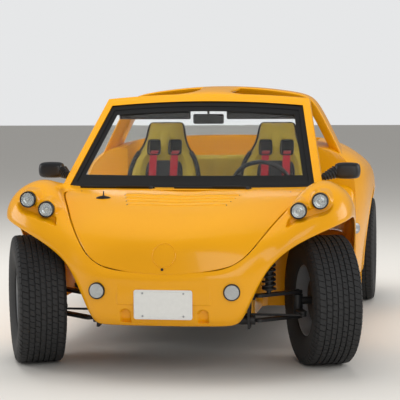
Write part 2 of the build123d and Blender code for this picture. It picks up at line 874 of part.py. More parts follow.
# Seats
seat_x = 360
for side, name in ((-1, "right"), (1, "left")):
    with BuildPart() as seat:
        with BuildSketch(Plane.YZ.offset(side * seat_x - 240)):
            with BuildLine():
                Polyline(
                    (station(960), 270),
                    (station(950), 400),
                    (station(1000), 430),
                    (station(1430), 400),
                    (station(1520), 520),
                    (station(1770), 1200),
                    (station(1815), 1238),
                    (station(1860), 1225),
                    (station(1680), 480),
                    (station(1600), 300),
                    (station(1500), 270),
                    close=True,
                )
            make_face()
        extrude(amount=480)
        with BuildSketch(across(900)):
            if True:
                with BuildLine():
                    front = [(-240, 200), (240, 200), (240, 900), (130, 1080), (120, 1300),
                             (-120, 1300), (-130, 1080), (-240, 900)]
                    Polyline(*[(side * seat_x + x, z) for x, z in front], close=True)
                make_face()
        extrude(amount=-1200, mode=Mode.INTERSECT)
    save(seat, f"seat_{name}")

with BuildPart() as rear_bench:
    with BuildSketch(Plane.YZ.offset(-590)):
        with BuildLine():
            Polyline(
                (station(2105), bench_floor_z + 1),
                (station(2105), 560),
                (station(2360), 550),
                (station(2440), 980),
                (station(cabin_rear - 1), 980),
                (station(cabin_rear - 1), bench_floor_z + 1),
                close=True,
            )
        make_face()
    extrude(amount=1180)
save(rear_bench, "rear_bench")

# Rear axle, gearbox and engine
with BuildPart() as rear_axle:
    with BuildSketch(Plane.YZ.offset(-rear_track / 2 + 60)):
        with Locations((rear_axle_y, tyre_radius)):
            Circle(34)
    extrude(amount=rear_track - 120)
    with BuildSketch(Plane.YZ.offset(-rear_track / 2 - 20)):
        with Locations((rear_axle_y, tyre_radius)):
            Circle(stub_radius)
    extrude(amount=rear_track + 40)
save(rear_axle, "rear_axle")

torsion_station = 2130
with BuildPart() as torsion_tube:
    with BuildSketch(Plane.YZ.offset(-590)):
        with Locations((station(torsion_station), 320)):
            Circle(45)
    extrude(amount=1180)
save(torsion_tube, "torsion_tube")

with BuildPart() as spring_plates:
    for side in (-1, 1):
        with BuildSketch(Plane.YZ.offset(side * 590)):
            with BuildLine():
                Polyline((station(2080), 280), (station(2440), 305), (station(2440), 385),
                         (station(2080), 365), close=True)
            make_face()
        extrude(amount=side * 8)
    add(rear_axle.part, mode=Mode.SUBTRACT)
save(spring_plates, "spring_plates")

with BuildPart() as gearbox:
    with BuildSketch(across(2190)):
        with Locations((0, 340)):
            RectangleRounded(240, 200, 60)
    extrude(amount=-410)
    add(rear_axle.part, mode=Mode.SUBTRACT)
save(gearbox, "gearbox")

with BuildPart() as engine:
    with BuildSketch(Plane.XY.offset(250)):
        with Locations((0, station(2790))):
            Rectangle(620, 380)
    extrude(amount=380)
save(engine, "engine")

with BuildPart() as exhaust:
    with BuildSketch(Plane.YZ.offset(-300)):
        with Locations((station(3026), 300)):
            Circle(50)
    extrude(amount=600)
    add(engine.part, mode=Mode.SUBTRACT)
save(exhaust, "exhaust")

bumper_station = 3074
bumper_z = 480
with BuildPart() as rear_bumper:
    with BuildSketch(Plane.YZ.offset(-500)):
        with Locations((station(bumper_station), bumper_z)):
            Circle(26)
    extrude(amount=1000)
    for x in (-480, 480):
        with BuildSketch(across(3040)):
            with Locations((x, bumper_z)):
                Rectangle(40, 40)
        extrude(amount=3040 - bumper_station)
save(rear_bumper, "rear_bumper")
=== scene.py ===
import json
from math import atan2, cos, hypot, pi, radians, sin
import bpy
from mathutils import Euler, Matrix, Vector

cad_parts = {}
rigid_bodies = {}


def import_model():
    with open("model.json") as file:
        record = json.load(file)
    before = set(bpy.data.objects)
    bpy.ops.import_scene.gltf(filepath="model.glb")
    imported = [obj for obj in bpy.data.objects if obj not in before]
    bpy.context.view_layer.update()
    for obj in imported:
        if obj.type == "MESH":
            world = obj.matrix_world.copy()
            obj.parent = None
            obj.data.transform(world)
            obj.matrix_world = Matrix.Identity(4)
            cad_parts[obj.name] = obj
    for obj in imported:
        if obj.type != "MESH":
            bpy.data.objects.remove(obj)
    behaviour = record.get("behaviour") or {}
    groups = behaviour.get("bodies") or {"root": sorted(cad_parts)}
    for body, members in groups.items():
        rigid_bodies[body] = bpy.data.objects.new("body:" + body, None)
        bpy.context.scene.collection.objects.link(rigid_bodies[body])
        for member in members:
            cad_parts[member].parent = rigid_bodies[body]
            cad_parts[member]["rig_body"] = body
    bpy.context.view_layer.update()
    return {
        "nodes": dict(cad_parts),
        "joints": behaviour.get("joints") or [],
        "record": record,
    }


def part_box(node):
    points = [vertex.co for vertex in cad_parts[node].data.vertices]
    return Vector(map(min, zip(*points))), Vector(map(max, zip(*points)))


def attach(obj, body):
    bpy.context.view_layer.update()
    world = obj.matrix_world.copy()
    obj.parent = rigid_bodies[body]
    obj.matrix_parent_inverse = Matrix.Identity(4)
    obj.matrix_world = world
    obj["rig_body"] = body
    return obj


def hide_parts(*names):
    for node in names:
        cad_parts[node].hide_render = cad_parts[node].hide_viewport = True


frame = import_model()
bpy.ops.object.select_all(action="DESELECT")

# The front axle stands 1.3 m ahead of the frame's origin. Tables below give
# millimetres: x across, s behind the front axle, z above the ground.
frontAxleY = -1.3
mm = 0.001


def place(x, s, z):
    return Vector((x * mm, frontAxleY + s * mm, z * mm))


# Materials

def linear(hexColour):
    parts = [int(hexColour[i:i + 2], 16) / 255 for i in (1, 3, 5)]
    return tuple(c / 12.92 if c <= 0.04045 else ((c + 0.055) / 1.055) ** 2.4 for c in parts) + (1.0,)


def addNode(tree, kind, settings=None, links=None):
    node = tree.nodes.new(kind)
    for key, value in (settings or {}).items():
        if isinstance(key, int) or key in node.inputs:
            node.inputs[key].default_value = value
        else:
            setattr(node, key, value)
    for key, source in (links or {}).items():
        tree.links.new(source, node.inputs[key])
    return node


def newMaterial(name, settings):
    material = bpy.data.materials.new(name)
    material.use_nodes = True
    tree = material.node_tree
    tree.nodes.clear()
    surface = addNode(tree, "ShaderNodeBsdfPrincipled", settings)
    addNode(tree, "ShaderNodeOutputMaterial", None, {"Surface": surface.outputs[0]})
    coords = addNode(tree, "ShaderNodeTexCoord")
    return material, tree, surface, coords.outputs["Object"]


def perMillimetre(size):
    # noise scale for a pattern of this size in mm
    return 1000 / size


def noiseOf(tree, coords, size, detail):
    return addNode(tree, "ShaderNodeTexNoise", {"Scale": perMillimetre(size), "Detail": detail}, {"Vector": coords})


def tintBy(tree, surface, share, first, second):
    # mixes two shades into the base colour
    tint = addNode(tree, "ShaderNodeMix", {"data_type": "RGBA", 6: linear(first), 7: linear(second)}, {0: share})
    tree.links.new(tint.outputs[2], surface.inputs["Base Color"])


def liftBy(tree, surface, height, strength, depth, inputs=("Normal",)):
    # raises the surface by a pattern, depth in mm
    bump = addNode(tree, "ShaderNodeBump", {"Strength": strength, "Distance": depth * mm}, {"Height": height})
    for name in inputs:
        tree.links.new(bump.outputs[0], surface.inputs[name])


gelcoat = {"colour": "#F2A904", "deep": "#E99F02", "cloud": 600, "peel": 3.0, "strength": 0.02, "depth": 0.5}


def makeGelcoat():
    # gelcoat over glass fibre: polished out of a mould, so a hard clear gloss with faint orange peel
    material, tree, surface, coords = newMaterial("moulded_gelcoat", {
        "Roughness": 0.26, "IOR": 1.5, "Specular IOR Level": 0.3, "Coat Weight": 0.3, "Coat Roughness": 0.06,
        "Coat IOR": 1.5,
    })
    cloud = noiseOf(tree, coords, gelcoat["cloud"], 3.0)
    tintBy(tree, surface, cloud.outputs["Fac"], gelcoat["deep"], gelcoat["colour"])
    peel = noiseOf(tree, coords, gelcoat["peel"], 1.0)
    liftBy(tree, surface, peel.outputs["Fac"], gelcoat["strength"], gelcoat["depth"], ("Normal", "Coat Normal"))
    return material


def makeGrained(name, colour, light, roughness, grain, depth, settings=None):
    # two near shades mixed by a grain of the given size in mm, which also lifts the surface
    values = {"Roughness": roughness, "IOR": 1.5}
    values.update(settings or {})
    material, tree, surface, coords = newMaterial(name, values)
    noise = noiseOf(tree, coords, grain, 4.0).outputs["Fac"]
    tintBy(tree, surface, noise, colour, light)
    if depth:
        liftBy(tree, surface, noise, 0.5, depth)
    return material


weave = {"turns": 6.3, "distortion": 0.4, "wear": 70, "strength": 0.5, "depth": 0.6}


def makeWoven(name, warp, weft, thread):
    # plain weave: two crossed sets of threads drawn coarser than life so that they show, with a soft sheen
    material, tree, surface, coords = newMaterial(name, {"Roughness": 0.9, "Sheen Weight": 0.25,
                                                         "Sheen Roughness": 0.5})
    across, along = [addNode(tree, "ShaderNodeTexWave", {
        "bands_direction": way, "Scale": perMillimetre(thread) / weave["turns"], "Distortion": weave["distortion"],
    }, {"Vector": coords}) for way in "XZ"]
    cross = addNode(tree, "ShaderNodeMath", {"operation": "MULTIPLY"},
                    {0: across.outputs["Fac"], 1: along.outputs["Fac"]})
    wear = noiseOf(tree, coords, weave["wear"], 3.0)
    amount = addNode(tree, "ShaderNodeMath", {"operation": "ADD", "use_clamp": True},
                     {0: cross.outputs[0], 1: wear.outputs["Fac"]})
    tintBy(tree, surface, amount.outputs[0], warp, weft)
    liftBy(tree, surface, cross.outputs[0], weave["strength"], weave["depth"])
    return material


paint = makeGelcoat()
finishes = {
    "body_gelcoat": paint,
    # clear float glass, nearly neutral
    "windscreen": makeGrained("laminated_glass", "#F2F8F6", "#FFFFFF", 0.0, 400, 0.0,
                              {"Transmission Weight": 1.0, "IOR": 1.1}),
    # extruded rubber: dull, slightly dusty
    "rubber_trim": makeGrained("extruded_rubber", "#101010", "#1C1C1C", 0.6, 4, 0.1),
    # injection moulded ABS with a fine leather grain
    "black_plastic": makeGrained("grained_abs", "#141517", "#222326", 0.42, 2.5, 0.15),
    "lamp_glass": makeGrained("pressed_lamp_glass", "#E6EAEA", "#F4F7F7", 0.05, 30, 0.1,
                              {"Transmission Weight": 0.85, "IOR": 1.3}),
    "reflector": makeGrained("pressed_bezel", "#202022", "#2E2F31", 0.35, 6, 0.1),
    "mirror_glass": makeGrained("silvered_glass", "#C8CDD2", "#D8DCE0", 0.03, 90, 0.0, {"Metallic": 1.0}),
    "red_lens": makeGrained("red_acrylic", "#8E0D08", "#A8140C", 0.15, 20, 0.1, {"Coat Weight": 0.6}),
    "plate_white": makeGrained("enamelled_sheet", "#DCDCD8", "#E8E8E4", 0.35, 20, 0.05),
    # tyre rubber: matt black gone grey with road dust
    "tyre": makeGrained("tyre_rubber", "#19191A", "#2D2D2E", 0.72, 14, 0.25),
    "wheel_silver": makeGrained("wheel_enamel", "#9B9DA0", "#B4B6B8", 0.35, 8, 0.05, {"Metallic": 0.6}),
    "chassis_black": makeGrained("chassis_paint", "#141415", "#242425", 0.5, 12, 0.3),
    "seat_fabric": makeWoven("seat_cloth", "#8A7A20", "#B39C2E", 3.0),
    "cast_alloy": makeGrained("sand_cast_alloy", "#7C7D7E", "#939495", 0.55, 3, 0.4, {"Metallic": 0.8}),
    "exhaust_steel": makeGrained("rolled_steel", "#5A5651", "#7A756F", 0.5, 14, 0.3, {"Metallic": 0.9}),
}
redWebbing = makeWoven("red_webbing", "#7C0F1C", "#B5182B", 2.2)
blackCloth = makeWoven("black_seat_cloth", "#131416", "#26282B", 3.0)
chrome = makeGrained("polished_reflector", "#C4C6C8", "#E4E5E6", 0.12, 25, 0.05, {"Metallic": 1.0})
lampGlow = makeGrained("frosted_bulb", "#E9E6DC", "#F6F3EA", 0.3, 6, 0.0)
ribbedLens = makeGrained("ribbed_clear_acrylic", "#B9BDBD", "#D4D8D8", 0.18, 9, 0.25, {"Transmission Weight": 0.2})
for part in frame["record"]["subparts"]:
    mesh = frame["nodes"][part["node"]].data
    mesh.materials.clear()
    mesh.materials.append(finishes.get(part["material_slot"], paint))
print("materials done")


# Making and finishing pieces

def choose(piece):
    # makes the piece the active one and the only one selected
    bpy.ops.object.select_all(action="DESELECT")
    piece.select_set(True)
    bpy.context.view_layer.objects.active = piece


def addModifier(piece, kind, **settings):
    modifier = piece.modifiers.new(kind.lower(), kind)
    for key, value in settings.items():
        setattr(modifier, key, value)
    return modifier


def applyModifiers(piece):
    bpy.context.view_layer.objects.active = piece
    for modifier in list(piece.modifiers):
        bpy.ops.object.modifier_apply(modifier=modifier.name)


def settle(piece, name, body, slotName, stands=(), material=None):
    # puts the piece's place into its mesh, gives it its finish and hangs it on its body
    choose(piece)
    bpy.ops.object.transform_apply(location=True, rotation=True, scale=True)
    piece.name = name
    piece.data.materials.clear()
    piece.data.materials.append(material or finishes[slotName])
    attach(piece, body)
    if stands:
        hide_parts(*stands)
    piece.select_set(False)
    return piece


def gridOf(columns):
    # grid primitive whose crossings are set to the given columns of points
    count = len(columns)
    bpy.ops.object.select_all(action="DESELECT")
    bpy.ops.mesh.primitive_grid_add(x_subdivisions=count - 1, y_subdivisions=len(columns[0]) - 1, size=1)
    piece = bpy.context.active_object
    for index, vertex in enumerate(piece.data.vertices):
        vertex.co = columns[index % count][index // count]
    return piece


def cube():
    bpy.ops.object.select_all(action="DESELECT")
    bpy.ops.mesh.primitive_cube_add(size=1)
    return bpy.context.active_object


def copyOf(mesh, name):
    piece = bpy.data.objects.new(name, mesh.copy())
    bpy.context.scene.collection.objects.link(piece)
    return piece


def joinPieces(pieces):
    bpy.ops.object.select_all(action="DESELECT")
    for piece in pieces:
        piece.select_set(True)
    bpy.context.view_layer.objects.active = pieces[0]
    bpy.ops.object.join()
    return bpy.context.active_object


def inEdit(piece, *steps):
    # runs edit mode operators on the whole of the piece
    choose(piece)
    bpy.ops.object.mode_set(mode="EDIT")
    bpy.ops.mesh.select_all(action="SELECT")
    for operator, settings in steps:
        operator(**settings)
    bpy.ops.object.mode_set(mode="OBJECT")


faceOut = (bpy.ops.mesh.normals_make_consistent, {"inside": False})


def mergeMesh(piece, distance=0.0005):
    inEdit(piece, (bpy.ops.mesh.remove_doubles, {"threshold": distance}), faceOut)


def selectFaces(piece, test):
    # leaves selected only the faces whose middle passes the test, and opens edit mode
    choose(piece)
    bpy.ops.object.mode_set(mode="EDIT")
    bpy.ops.mesh.select_mode(type="FACE")
    bpy.ops.mesh.select_all(action="DESELECT")
    bpy.ops.object.mode_set(mode="OBJECT")
    for polygon in piece.data.polygons:
        polygon.select = bool(test(polygon.center))
    bpy.ops.object.mode_set(mode="EDIT")


def refineFaces(piece, test, cuts):
    selectFaces(piece, test)
    bpy.ops.mesh.subdivide(number_cuts=cuts)
    bpy.ops.object.mode_set(mode="OBJECT")


def shadeByAngle(piece, angle):
    # smooth shading, but for edges sharper than the angle
    choose(piece)
    bpy.ops.object.shade_smooth_by_angle(angle=radians(angle))


def roundEdges(piece, width, segments=3, angle=35):
    addModifier(piece, "BEVEL", width=width * mm, segments=segments, limit_method="ANGLE",
                angle_limit=radians(angle), use_clamp_overlap=True, miter_outer="MITER_ARC")
    applyModifiers(piece)
    shadeByAngle(piece, 40)


def smooth(piece, levels=0):
    if levels:
        addModifier(piece, "SUBSURF", levels=levels, render_levels=levels)
        applyModifiers(piece)
    choose(piece)
    bpy.ops.object.shade_smooth()


def thicken(piece, wall, offset=-1):
    # gives a sheet its wall in mm, inwards or half to each side
    addModifier(piece, "SOLIDIFY", thickness=wall * mm, offset=offset)
    applyModifiers(piece)


def lay(piece, spot, axis):
    # turns the piece's X to the axis and carries its origin to the spot
    turn = Vector(axis).to_track_quat("X", "Z").to_matrix().to_4x4()
    piece.data.transform(Matrix.Translation(spot) @ turn)


def lathe(profile, steps, spot, axis):
    # profile as (along, out) in mm, spun round X, then laid along axis at spot
    piece = gridOf([[Vector((along * mm, out * mm, level)) for level in (0, 1)] for along, out in profile])
    bpy.ops.object.mode_set(mode="EDIT")
    bpy.ops.mesh.select_mode(type="VERT")
    bpy.ops.mesh.select_all(action="DESELECT")
    bpy.ops.object.mode_set(mode="OBJECT")
    for vertex in piece.data.vertices:
        vertex.select = vertex.co.z > 0.5
    bpy.ops.object.mode_set(mode="EDIT")
    bpy.ops.mesh.delete(type="VERT")
    bpy.ops.mesh.select_all(action="SELECT")
    bpy.ops.mesh.spin(steps=steps, angle=2 * pi, center=(0, 0, 0), axis=(1, 0, 0))
    bpy.ops.object.mode_set(mode="OBJECT")
    mergeMesh(piece, 0.00002)
    lay(piece, spot, axis)
    shadeByAngle(piece, 35)
    return piece


def block(low, high, width, segments=3):
    # rounded box between two corners in metres
    piece = cube()
    for vertex in piece.data.vertices:
        vertex.co = [low[i] if vertex.co[i] < 0 else high[i] for i in range(3)]
    roundEdges(piece, width, segments)
    return piece


def boxAt(x, s, z, wide, deep, tall, width, segments=3):
    # rounded box round its middle, in the tables' millimetres
    return block(place(x - wide / 2, s - deep / 2, z - tall / 2), place(x + wide / 2, s + deep / 2, z + tall / 2),
                 width, segments)


def tube(points, radius, closed=False, sides=4, order=4, caps=True):
    # pipe through the given points, made a mesh
    curve = bpy.data.curves.new("pipe", "CURVE")
    curve.dimensions = "3D"
    curve.bevel_depth = radius * mm
    curve.bevel_resolution = sides
    curve.use_fill_caps = caps
    line = curve.splines.new("NURBS")
    line.points.add(len(points) - 1)
    for spot, point in zip(line.points, points):
        spot.co = (*point, 1)
    line.order_u = order
    line.use_cyclic_u = closed
    line.use_endpoint_u = not closed
    line.resolution_u = 6
    holder = bpy.data.objects.new("pipe", curve)
    bpy.context.scene.collection.objects.link(holder)
    choose(holder)
    bpy.ops.object.convert(target="MESH")
    piece = bpy.context.active_object
    mergeMesh(piece, 0.00005)
    shadeByAngle(piece, 50)
    return piece


def refine(node, name, slotName, width, angle=30):
    # a node's own mesh, merged, with its sharp edges rounded
    piece = copyOf(frame["nodes"][node].data, name)
    inEdit(piece, (bpy.ops.mesh.remove_doubles, {"threshold": 0.00002}))
    roundEdges(piece, width, 3, angle)
    return settle(piece, name, frame["nodes"][node]["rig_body"], slotName, [node])


def otherSide(piece):
    # a mirrored copy with its own mesh
    twin = copyOf(piece.data, piece.name)
    twin.data.transform(Matrix.Scale(-1, 4, (1, 0, 0)))
    inEdit(twin, faceOut)
    return twin


def closeEdges(operator):
    # closes the open edges of the active piece with the given operator
    bpy.ops.object.mode_set(mode="EDIT")
    bpy.ops.mesh.select_mode(type="EDGE")
    bpy.ops.mesh.select_all(action="DESELECT")
    bpy.ops.mesh.select_non_manifold()
    operator()
    bpy.ops.mesh.select_all(action="SELECT")
    bpy.ops.mesh.normals_make_consistent(inside=False)
    bpy.ops.object.mode_set(mode="OBJECT")


def sleeve(rings):
    # closed rings of equal count, skinned one to the next, open at both ends
    piece = gridOf([list(ring) + [ring[0]] for ring in rings])
    mergeMesh(piece, 0.00005)
    return piece


def loopPiece(rings):
    # sleeve that is capped at both ends
    piece = sleeve(rings)
    closeEdges(bpy.ops.mesh.edge_face_add)
    return piece


# Camera, floor and lights

camera = {
    "eye": (1.337, -9.598, 1.611), "turn": 8.344, "pitch": -5.008, "roll": -0.435, "lens": 142.5, "sensor": 36,
}


def placeCamera():
    data = bpy.data.cameras.new("camera")
    data.lens = camera["lens"]
    data.sensor_width = camera["sensor"]
    seer = bpy.data.objects.new("camera", data)
    bpy.context.scene.collection.objects.link(seer)
    aim = Euler((radians(90 + camera["pitch"]), 0, radians(camera["turn"]))).to_matrix()
    aim = aim @ Matrix.Rotation(radians(camera["roll"]), 3, "Z")
    seer.matrix_world = Matrix.Translation(camera["eye"]) @ aim.to_4x4()
    bpy.context.scene.camera = seer


lamps = {
    # name: (place, aimed at, size, watts)
    "overhead": ((-1.0, 1.5, 6.0), (0, 0, 0.6), 6.0, 340),
    "front_fill": ((3.0, -7.0, 3.2), (0, 0, 0.6), 5.0, 150),
    "left_fill": ((-6.5, -1.0, 3.0), (0, 0, 0.6), 4.0, 150),
    "right_fill": ((6.5, 1.0, 3.0), (0, 0, 0.6), 4.0, 150),
}
floor = {"size": 60, "colour": "#D9D6D0", "backdrop": "#E6E7E8", "light": 0.46, "glossy": 0.22}


def buildStudio():
    bpy.ops.mesh.primitive_plane_add(size=floor["size"])
    ground = bpy.context.active_object
    ground.name = "floor"
    material = newMaterial("pale_floor", {"Roughness": 0.9, "Base Color": linear(floor["colour"])})[0]
    ground.data.materials.append(material)
    for name, (spot, target, size, watts) in lamps.items():
        light = bpy.data.lights.new(name, "AREA")
        light.size = size
        light.energy = watts
        holder = bpy.data.objects.new(name, light)
        bpy.context.scene.collection.objects.link(holder)
        holder.location = spot
        holder.rotation_euler = (Vector(target) - Vector(spot)).to_track_quat("-Z", "Y").to_euler()
        holder.visible_glossy = name != "overhead"
    world = bpy.data.worlds.new("studio")
    bpy.context.scene.world = world
    world.use_nodes = True
    tree = world.node_tree
    tree.nodes.clear()
    rays = addNode(tree, "ShaderNodeLightPath")
    lit, sheen, seen = [addNode(tree, "ShaderNodeBackground", {"Color": linear(colour), "Strength": strength})
                        for colour, strength in (("#FFFFFF", floor["light"]), ("#FFFFFF", floor["glossy"]),
                                                 (floor["backdrop"], 1.0))]
    soft = addNode(tree, "ShaderNodeMixShader", None,
                   {0: rays.outputs["Is Glossy Ray"], 1: lit.outputs[0], 2: sheen.outputs[0]})
    direct = addNode(tree, "ShaderNodeMath", {"operation": "MAXIMUM"},
                     {0: rays.outputs["Is Camera Ray"], 1: rays.outputs["Is Transmission Ray"]})
    both = addNode(tree, "ShaderNodeMixShader", None,
                   {0: direct.outputs[0], 1: soft.outputs[0], 2: seen.outputs[0]})
    addNode(tree, "ShaderNodeOutputWorld", None, {"Surface": both.outputs[0]})
    bpy.context.scene.view_settings.view_transform = "Standard"


placeCamera()
buildStudio()
print("camera and studio done")


# Body mouldings

def roundCage(piece, levels, mirrored=True):
    # rounds a cage, of which half is given where it is mirrored
    if mirrored:
        addModifier(piece, "MIRROR", use_clip=True, merge_threshold=0.001)
        applyModifiers(piece)
    mergeMesh(piece)
    smooth(piece, levels)


def skin(piece, wall, levels, shape=None, mirrored=True):
    # rounds a cage, moves its points by shape and gives it its wall
    roundCage(piece, levels, mirrored)
    if shape:
        shape(piece)
    thicken(piece, wall)
    smooth(piece)


def station(point):
    return (point.y - frontAxleY) / mm


def landOn(target, start, way):
    # where a line from start first meets the target, and how its surface faces there
    return target.ray_cast(start, way)[1:3]


def ramp(value, low, high):
    share = min(1, max(0, (value - low) / (high - low)))
    return share * share * (3 - 2 * share)


def blend(first, second, share):
    return first * (1 - share) + second * share


def capsule(x, z, first, second):
    # distance in mm from the outline of a tapered bar between two circles, negative inside
    (ax, az, ar), (bx, bz, br) = first, second
    run, rise = bx - ax, bz - az
    share = min(1, max(0, ((x - ax) * run + (z - az) * rise) / (run * run + rise * rise)))
    return hypot(x - ax - run * share, z - az - rise * share) - (ar + (br - ar) * share)


def blendedMin(a, b, width):
    share = min(1, max(0, 0.5 + 0.5 * (b - a) / width))
    return b + (a - b) * share - width * share * (1 - share)


# Front clip: a band of columns from the hood's seam out to the lower lip, from the nose's middle
# round to the scuttle.
# Each column: seam, crest of the roll, brow, face, fold and lip, each as (x, s, z).
clip = {
    "wall": 6, "scuttleColumns": 4, "scuttleRise": 6,
    "columns": [
        ((0, -484, 540), (0, -506, 516), (0, -500, 478), (0, -494, 410), (0, -482, 305), (0, -446, 270)),
        ((200, -474, 551), (204, -497, 526), (205, -491, 487), (206, -486, 412), (205, -473, 305), (203, -438, 270)),
        ((290, -456, 561), (305, -477, 537), (312, -474, 497), (318, -470, 415), (322, -456, 305), (318, -424, 270)),
        ((345, -437, 580), (368, -453, 556), (380, -452, 515), (385, -448, 420), (382, -436, 312), (368, -404, 276)),
        ((385, -418, 603), (412, -428, 578), (425, -426, 532), (424, -424, 440), (412, -414, 345), (398, -385, 310)),
        ((424, -392, 634), (452, -400, 610), (468, -398, 568), (466, -398, 500), (452, -392, 430), (436, -365, 395)),
        ((458, -350, 675), (488, -362, 655), (508, -366, 622), (512, -368, 580), (504, -366, 535), (488, -345, 510)),
        ((492, -300, 718), (525, -318, 708), (550, -334, 684), (562, -346, 655), (563, -350, 620), (550, -335, 594)),
        ((530, -225, 765), (566, -250, 768), (598, -290, 750), (622, -322, 722), (634, -338, 688), (630, -325, 660)),
        ((565, -130, 805), (604, -150, 842), (650, -200, 850), (690, -270, 800), (716, -302, 742), (722, -292, 710)),
        ((600, -20, 840), (640, -40, 910), (705, -95, 935), (775, -190, 880), (815, -235, 790), (826, -225, 752)),
        ((635, 80, 870), (668, 70, 945), (760, 20, 985), (868, -80, 925), (912, -130, 830), (915, -120, 785)),
        ((660, 170, 888), (692, 170, 955), (785, 150, 990), (900, 70, 930), (936, 20, 850), (934, 10, 800)),
        ((680, 300, 900), (705, 300, 940), (790, 300, 968), (902, 250, 905), (938, 215, 820), (936, 205, 752)),
        ((695, 420, 908), (712, 420, 930), (795, 420, 948), (900, 420, 870), (930, 420, 700), (925, 405, 540)),
        ((700, 520, 912), (716, 520, 922), (798, 520, 926), (895, 520, 850), (912, 515, 600), (870, 508, 250)),
    ],
}
headlamps = [(664, -245, 842), (772, -207, 890)]
scoop = {
    "floor": 46, "ring": 60, "tip": (610, 768, 12), "underOuter": 78, "underInner": 60, "shift": 6, "lip": 18,
    "blend": 10, "cowl": 66, "fairing": 20, "reach": 125, "fade": 30,
    # where it can be: ahead of this station, above this height, and how far beyond its outline the mesh is finer
    "behind": 20, "above": 640, "margin": 26,
}
nosePad = {"halfWidth": 242, "low": 383, "high": 505, "lift": 6, "step": 5, "slope": 40,
           # part of the nose with the finer mesh: station, half width, low and high, and the top of what is moved
           "front": -400, "half": 290, "from": 275, "to": 520, "top": 560}
pockets = {"x": 200, "halfWidth": 28, "low": 292, "spring": 334, "depth": 26, "step": 5}


def scoopEdge(x, z):
    # how far a point lies from the scoop's outline in front view, negative inside
    (bx, bz), (ax, az) = [(lamp[0], lamp[2]) for lamp in headlamps]
    rings = blendedMin(hypot(x - ax, z - az), hypot(x - bx, z - bz), scoop["blend"]) - scoop["ring"]
    low = min(capsule(x, z, (ax, az, scoop["underOuter"]), (bx, bz, scoop["underInner"])),
              capsule(x, z, (bx, bz, scoop["underInner"]), scoop["tip"]))
    slope = (az - bz) / (ax - bx)
    over = (z - (bz + slope * (x - bx)) + scoop["shift"]) / hypot(1, slope)
    return blendedMin(rings, max(low, over), scoop["blend"])


def shapeClip(piece):
    inner, outer = headlamps
    run = (outer[1] - inner[1]) / (outer[0] - inner[0])

    def nearScoop(middle):
        x, s, z = abs(middle.x) / mm, station(middle), middle.z / mm
        return s < scoop["behind"] and z > scoop["above"] and scoopEdge(x, z) < scoop["margin"]

    def nearPad(middle):
        x, z = abs(middle.x) / mm, middle.z / mm
        return (middle.y < frontAxleY + nosePad["front"] * mm and x < nosePad["half"]
                and nosePad["from"] < z < nosePad["to"])

    refineFaces(piece, nearScoop, 1)
    refineFaces(piece, nearScoop, 1)
    refineFaces(piece, nearPad, 2)
    for vertex in piece.data.vertices:
        x, s, z = abs(vertex.co.x) / mm, station(vertex.co), vertex.co.z / mm
        if s < scoop["behind"] and z > scoop["above"]:
            edge = scoopEdge(x, z)
            back = inner[1] + run * (x - inner[0]) + scoop["floor"]
            near = min(hypot(x - lamp[0], z - lamp[2]) for lamp in headlamps)
            if edge < 0 and s < back:
                s += (back - s) * ramp(-edge, 0, scoop["lip"])
            elif s > back:
                # cowls that carry the pod's skin forward round the lamp bodies
                s += ((back - s) * ramp(scoop["cowl"] - near, 0, scoop["fairing"])
                      * ramp(back + scoop["reach"] - s, 0, scoop["fade"]))
        elif s < nosePad["front"] and z < nosePad["top"]:
            side = ramp(nosePad["halfWidth"] - x, 0, nosePad["step"])
            rise = ramp(z, nosePad["low"], nosePad["low"] + nosePad["step"])
            fall = ramp(z, nosePad["low"] + nosePad["slope"], nosePad["high"])
            s -= nosePad["lift"] * side * rise * (1 - fall)
            reach = hypot(x - pockets["x"], max(0, z - pockets["spring"])) - pockets["halfWidth"]
            if z > pockets["low"] - pockets["step"]:
                s += pockets["depth"] * ramp(-reach, 0, pockets["step"]) * ramp(
                    z, pockets["low"] - pockets["step"], pockets["low"])
        vertex.co.y = frontAxleY + s * mm


def buildFrontClip():
    columns = [[place(*point) for point in column] for column in clip["columns"]]
    band = gridOf(columns)
    edge = [column[0] for column in columns[-3:]]
    count, rise = clip["scuttleColumns"], clip["scuttleRise"] * mm
    scuttle = gridOf([[Vector((p.x * (1 - k / count), p.y, p.z + rise * sin(pi * k / 2 / count))) for p in edge]
                      for k in range(count + 1)])
    piece = joinPieces([band, scuttle])
    skin(piece, clip["wall"], 3, shapeClip)
    settle(piece, "clip_shell", "chassis", "body_gelcoat", ["front_clip"])


# Hood: rows from its front edge back to the scuttle, each from the middle to the seam
hoodTable = {
    "gap": 6, "wall": 6, "crown": 10, "steps": 5, "crownRows": 3, "bow": 2.2,
    "middle": [(-484, 540), (-470, 600), (-450, 660), (-410, 710), (-350, 745), (-270, 780), (-180, 812),
               (-60, 842), (80, 867), (180, 882), (294, 896)],
    "edge": [(345, -437, 580), (385, -418, 603), (424, -392, 634), (458, -350, 675), (492, -300, 718),
             (530, -225, 765), (565, -130, 805), (600, -20, 840), (635, 80, 870), (660, 170, 888), (680, 294, 899)],
    # louvre steps: station of each lip, half width there
    "louvres": [(-48, 270), (16, 286), (80, 302), (144, 318)], "pitch": 60, "step": 6, "rise": 7, "side": 10,
}


def shapeHood(piece):
    for vertex in piece.data.vertices:
        x, s = abs(vertex.co.x) / mm, station(vertex.co)
        for lip, half in hoodTable["louvres"]:
            share = (s - lip) / hoodTable["pitch"]
            if 0 <= share <= 1:
                lift = ramp(s, lip, lip + hoodTable["rise"]) * (1 - ramp(share, 0.1, 1.0))
                vertex.co.z += hoodTable["step"] * mm * lift * ramp(half - x, 0, hoodTable["side"])


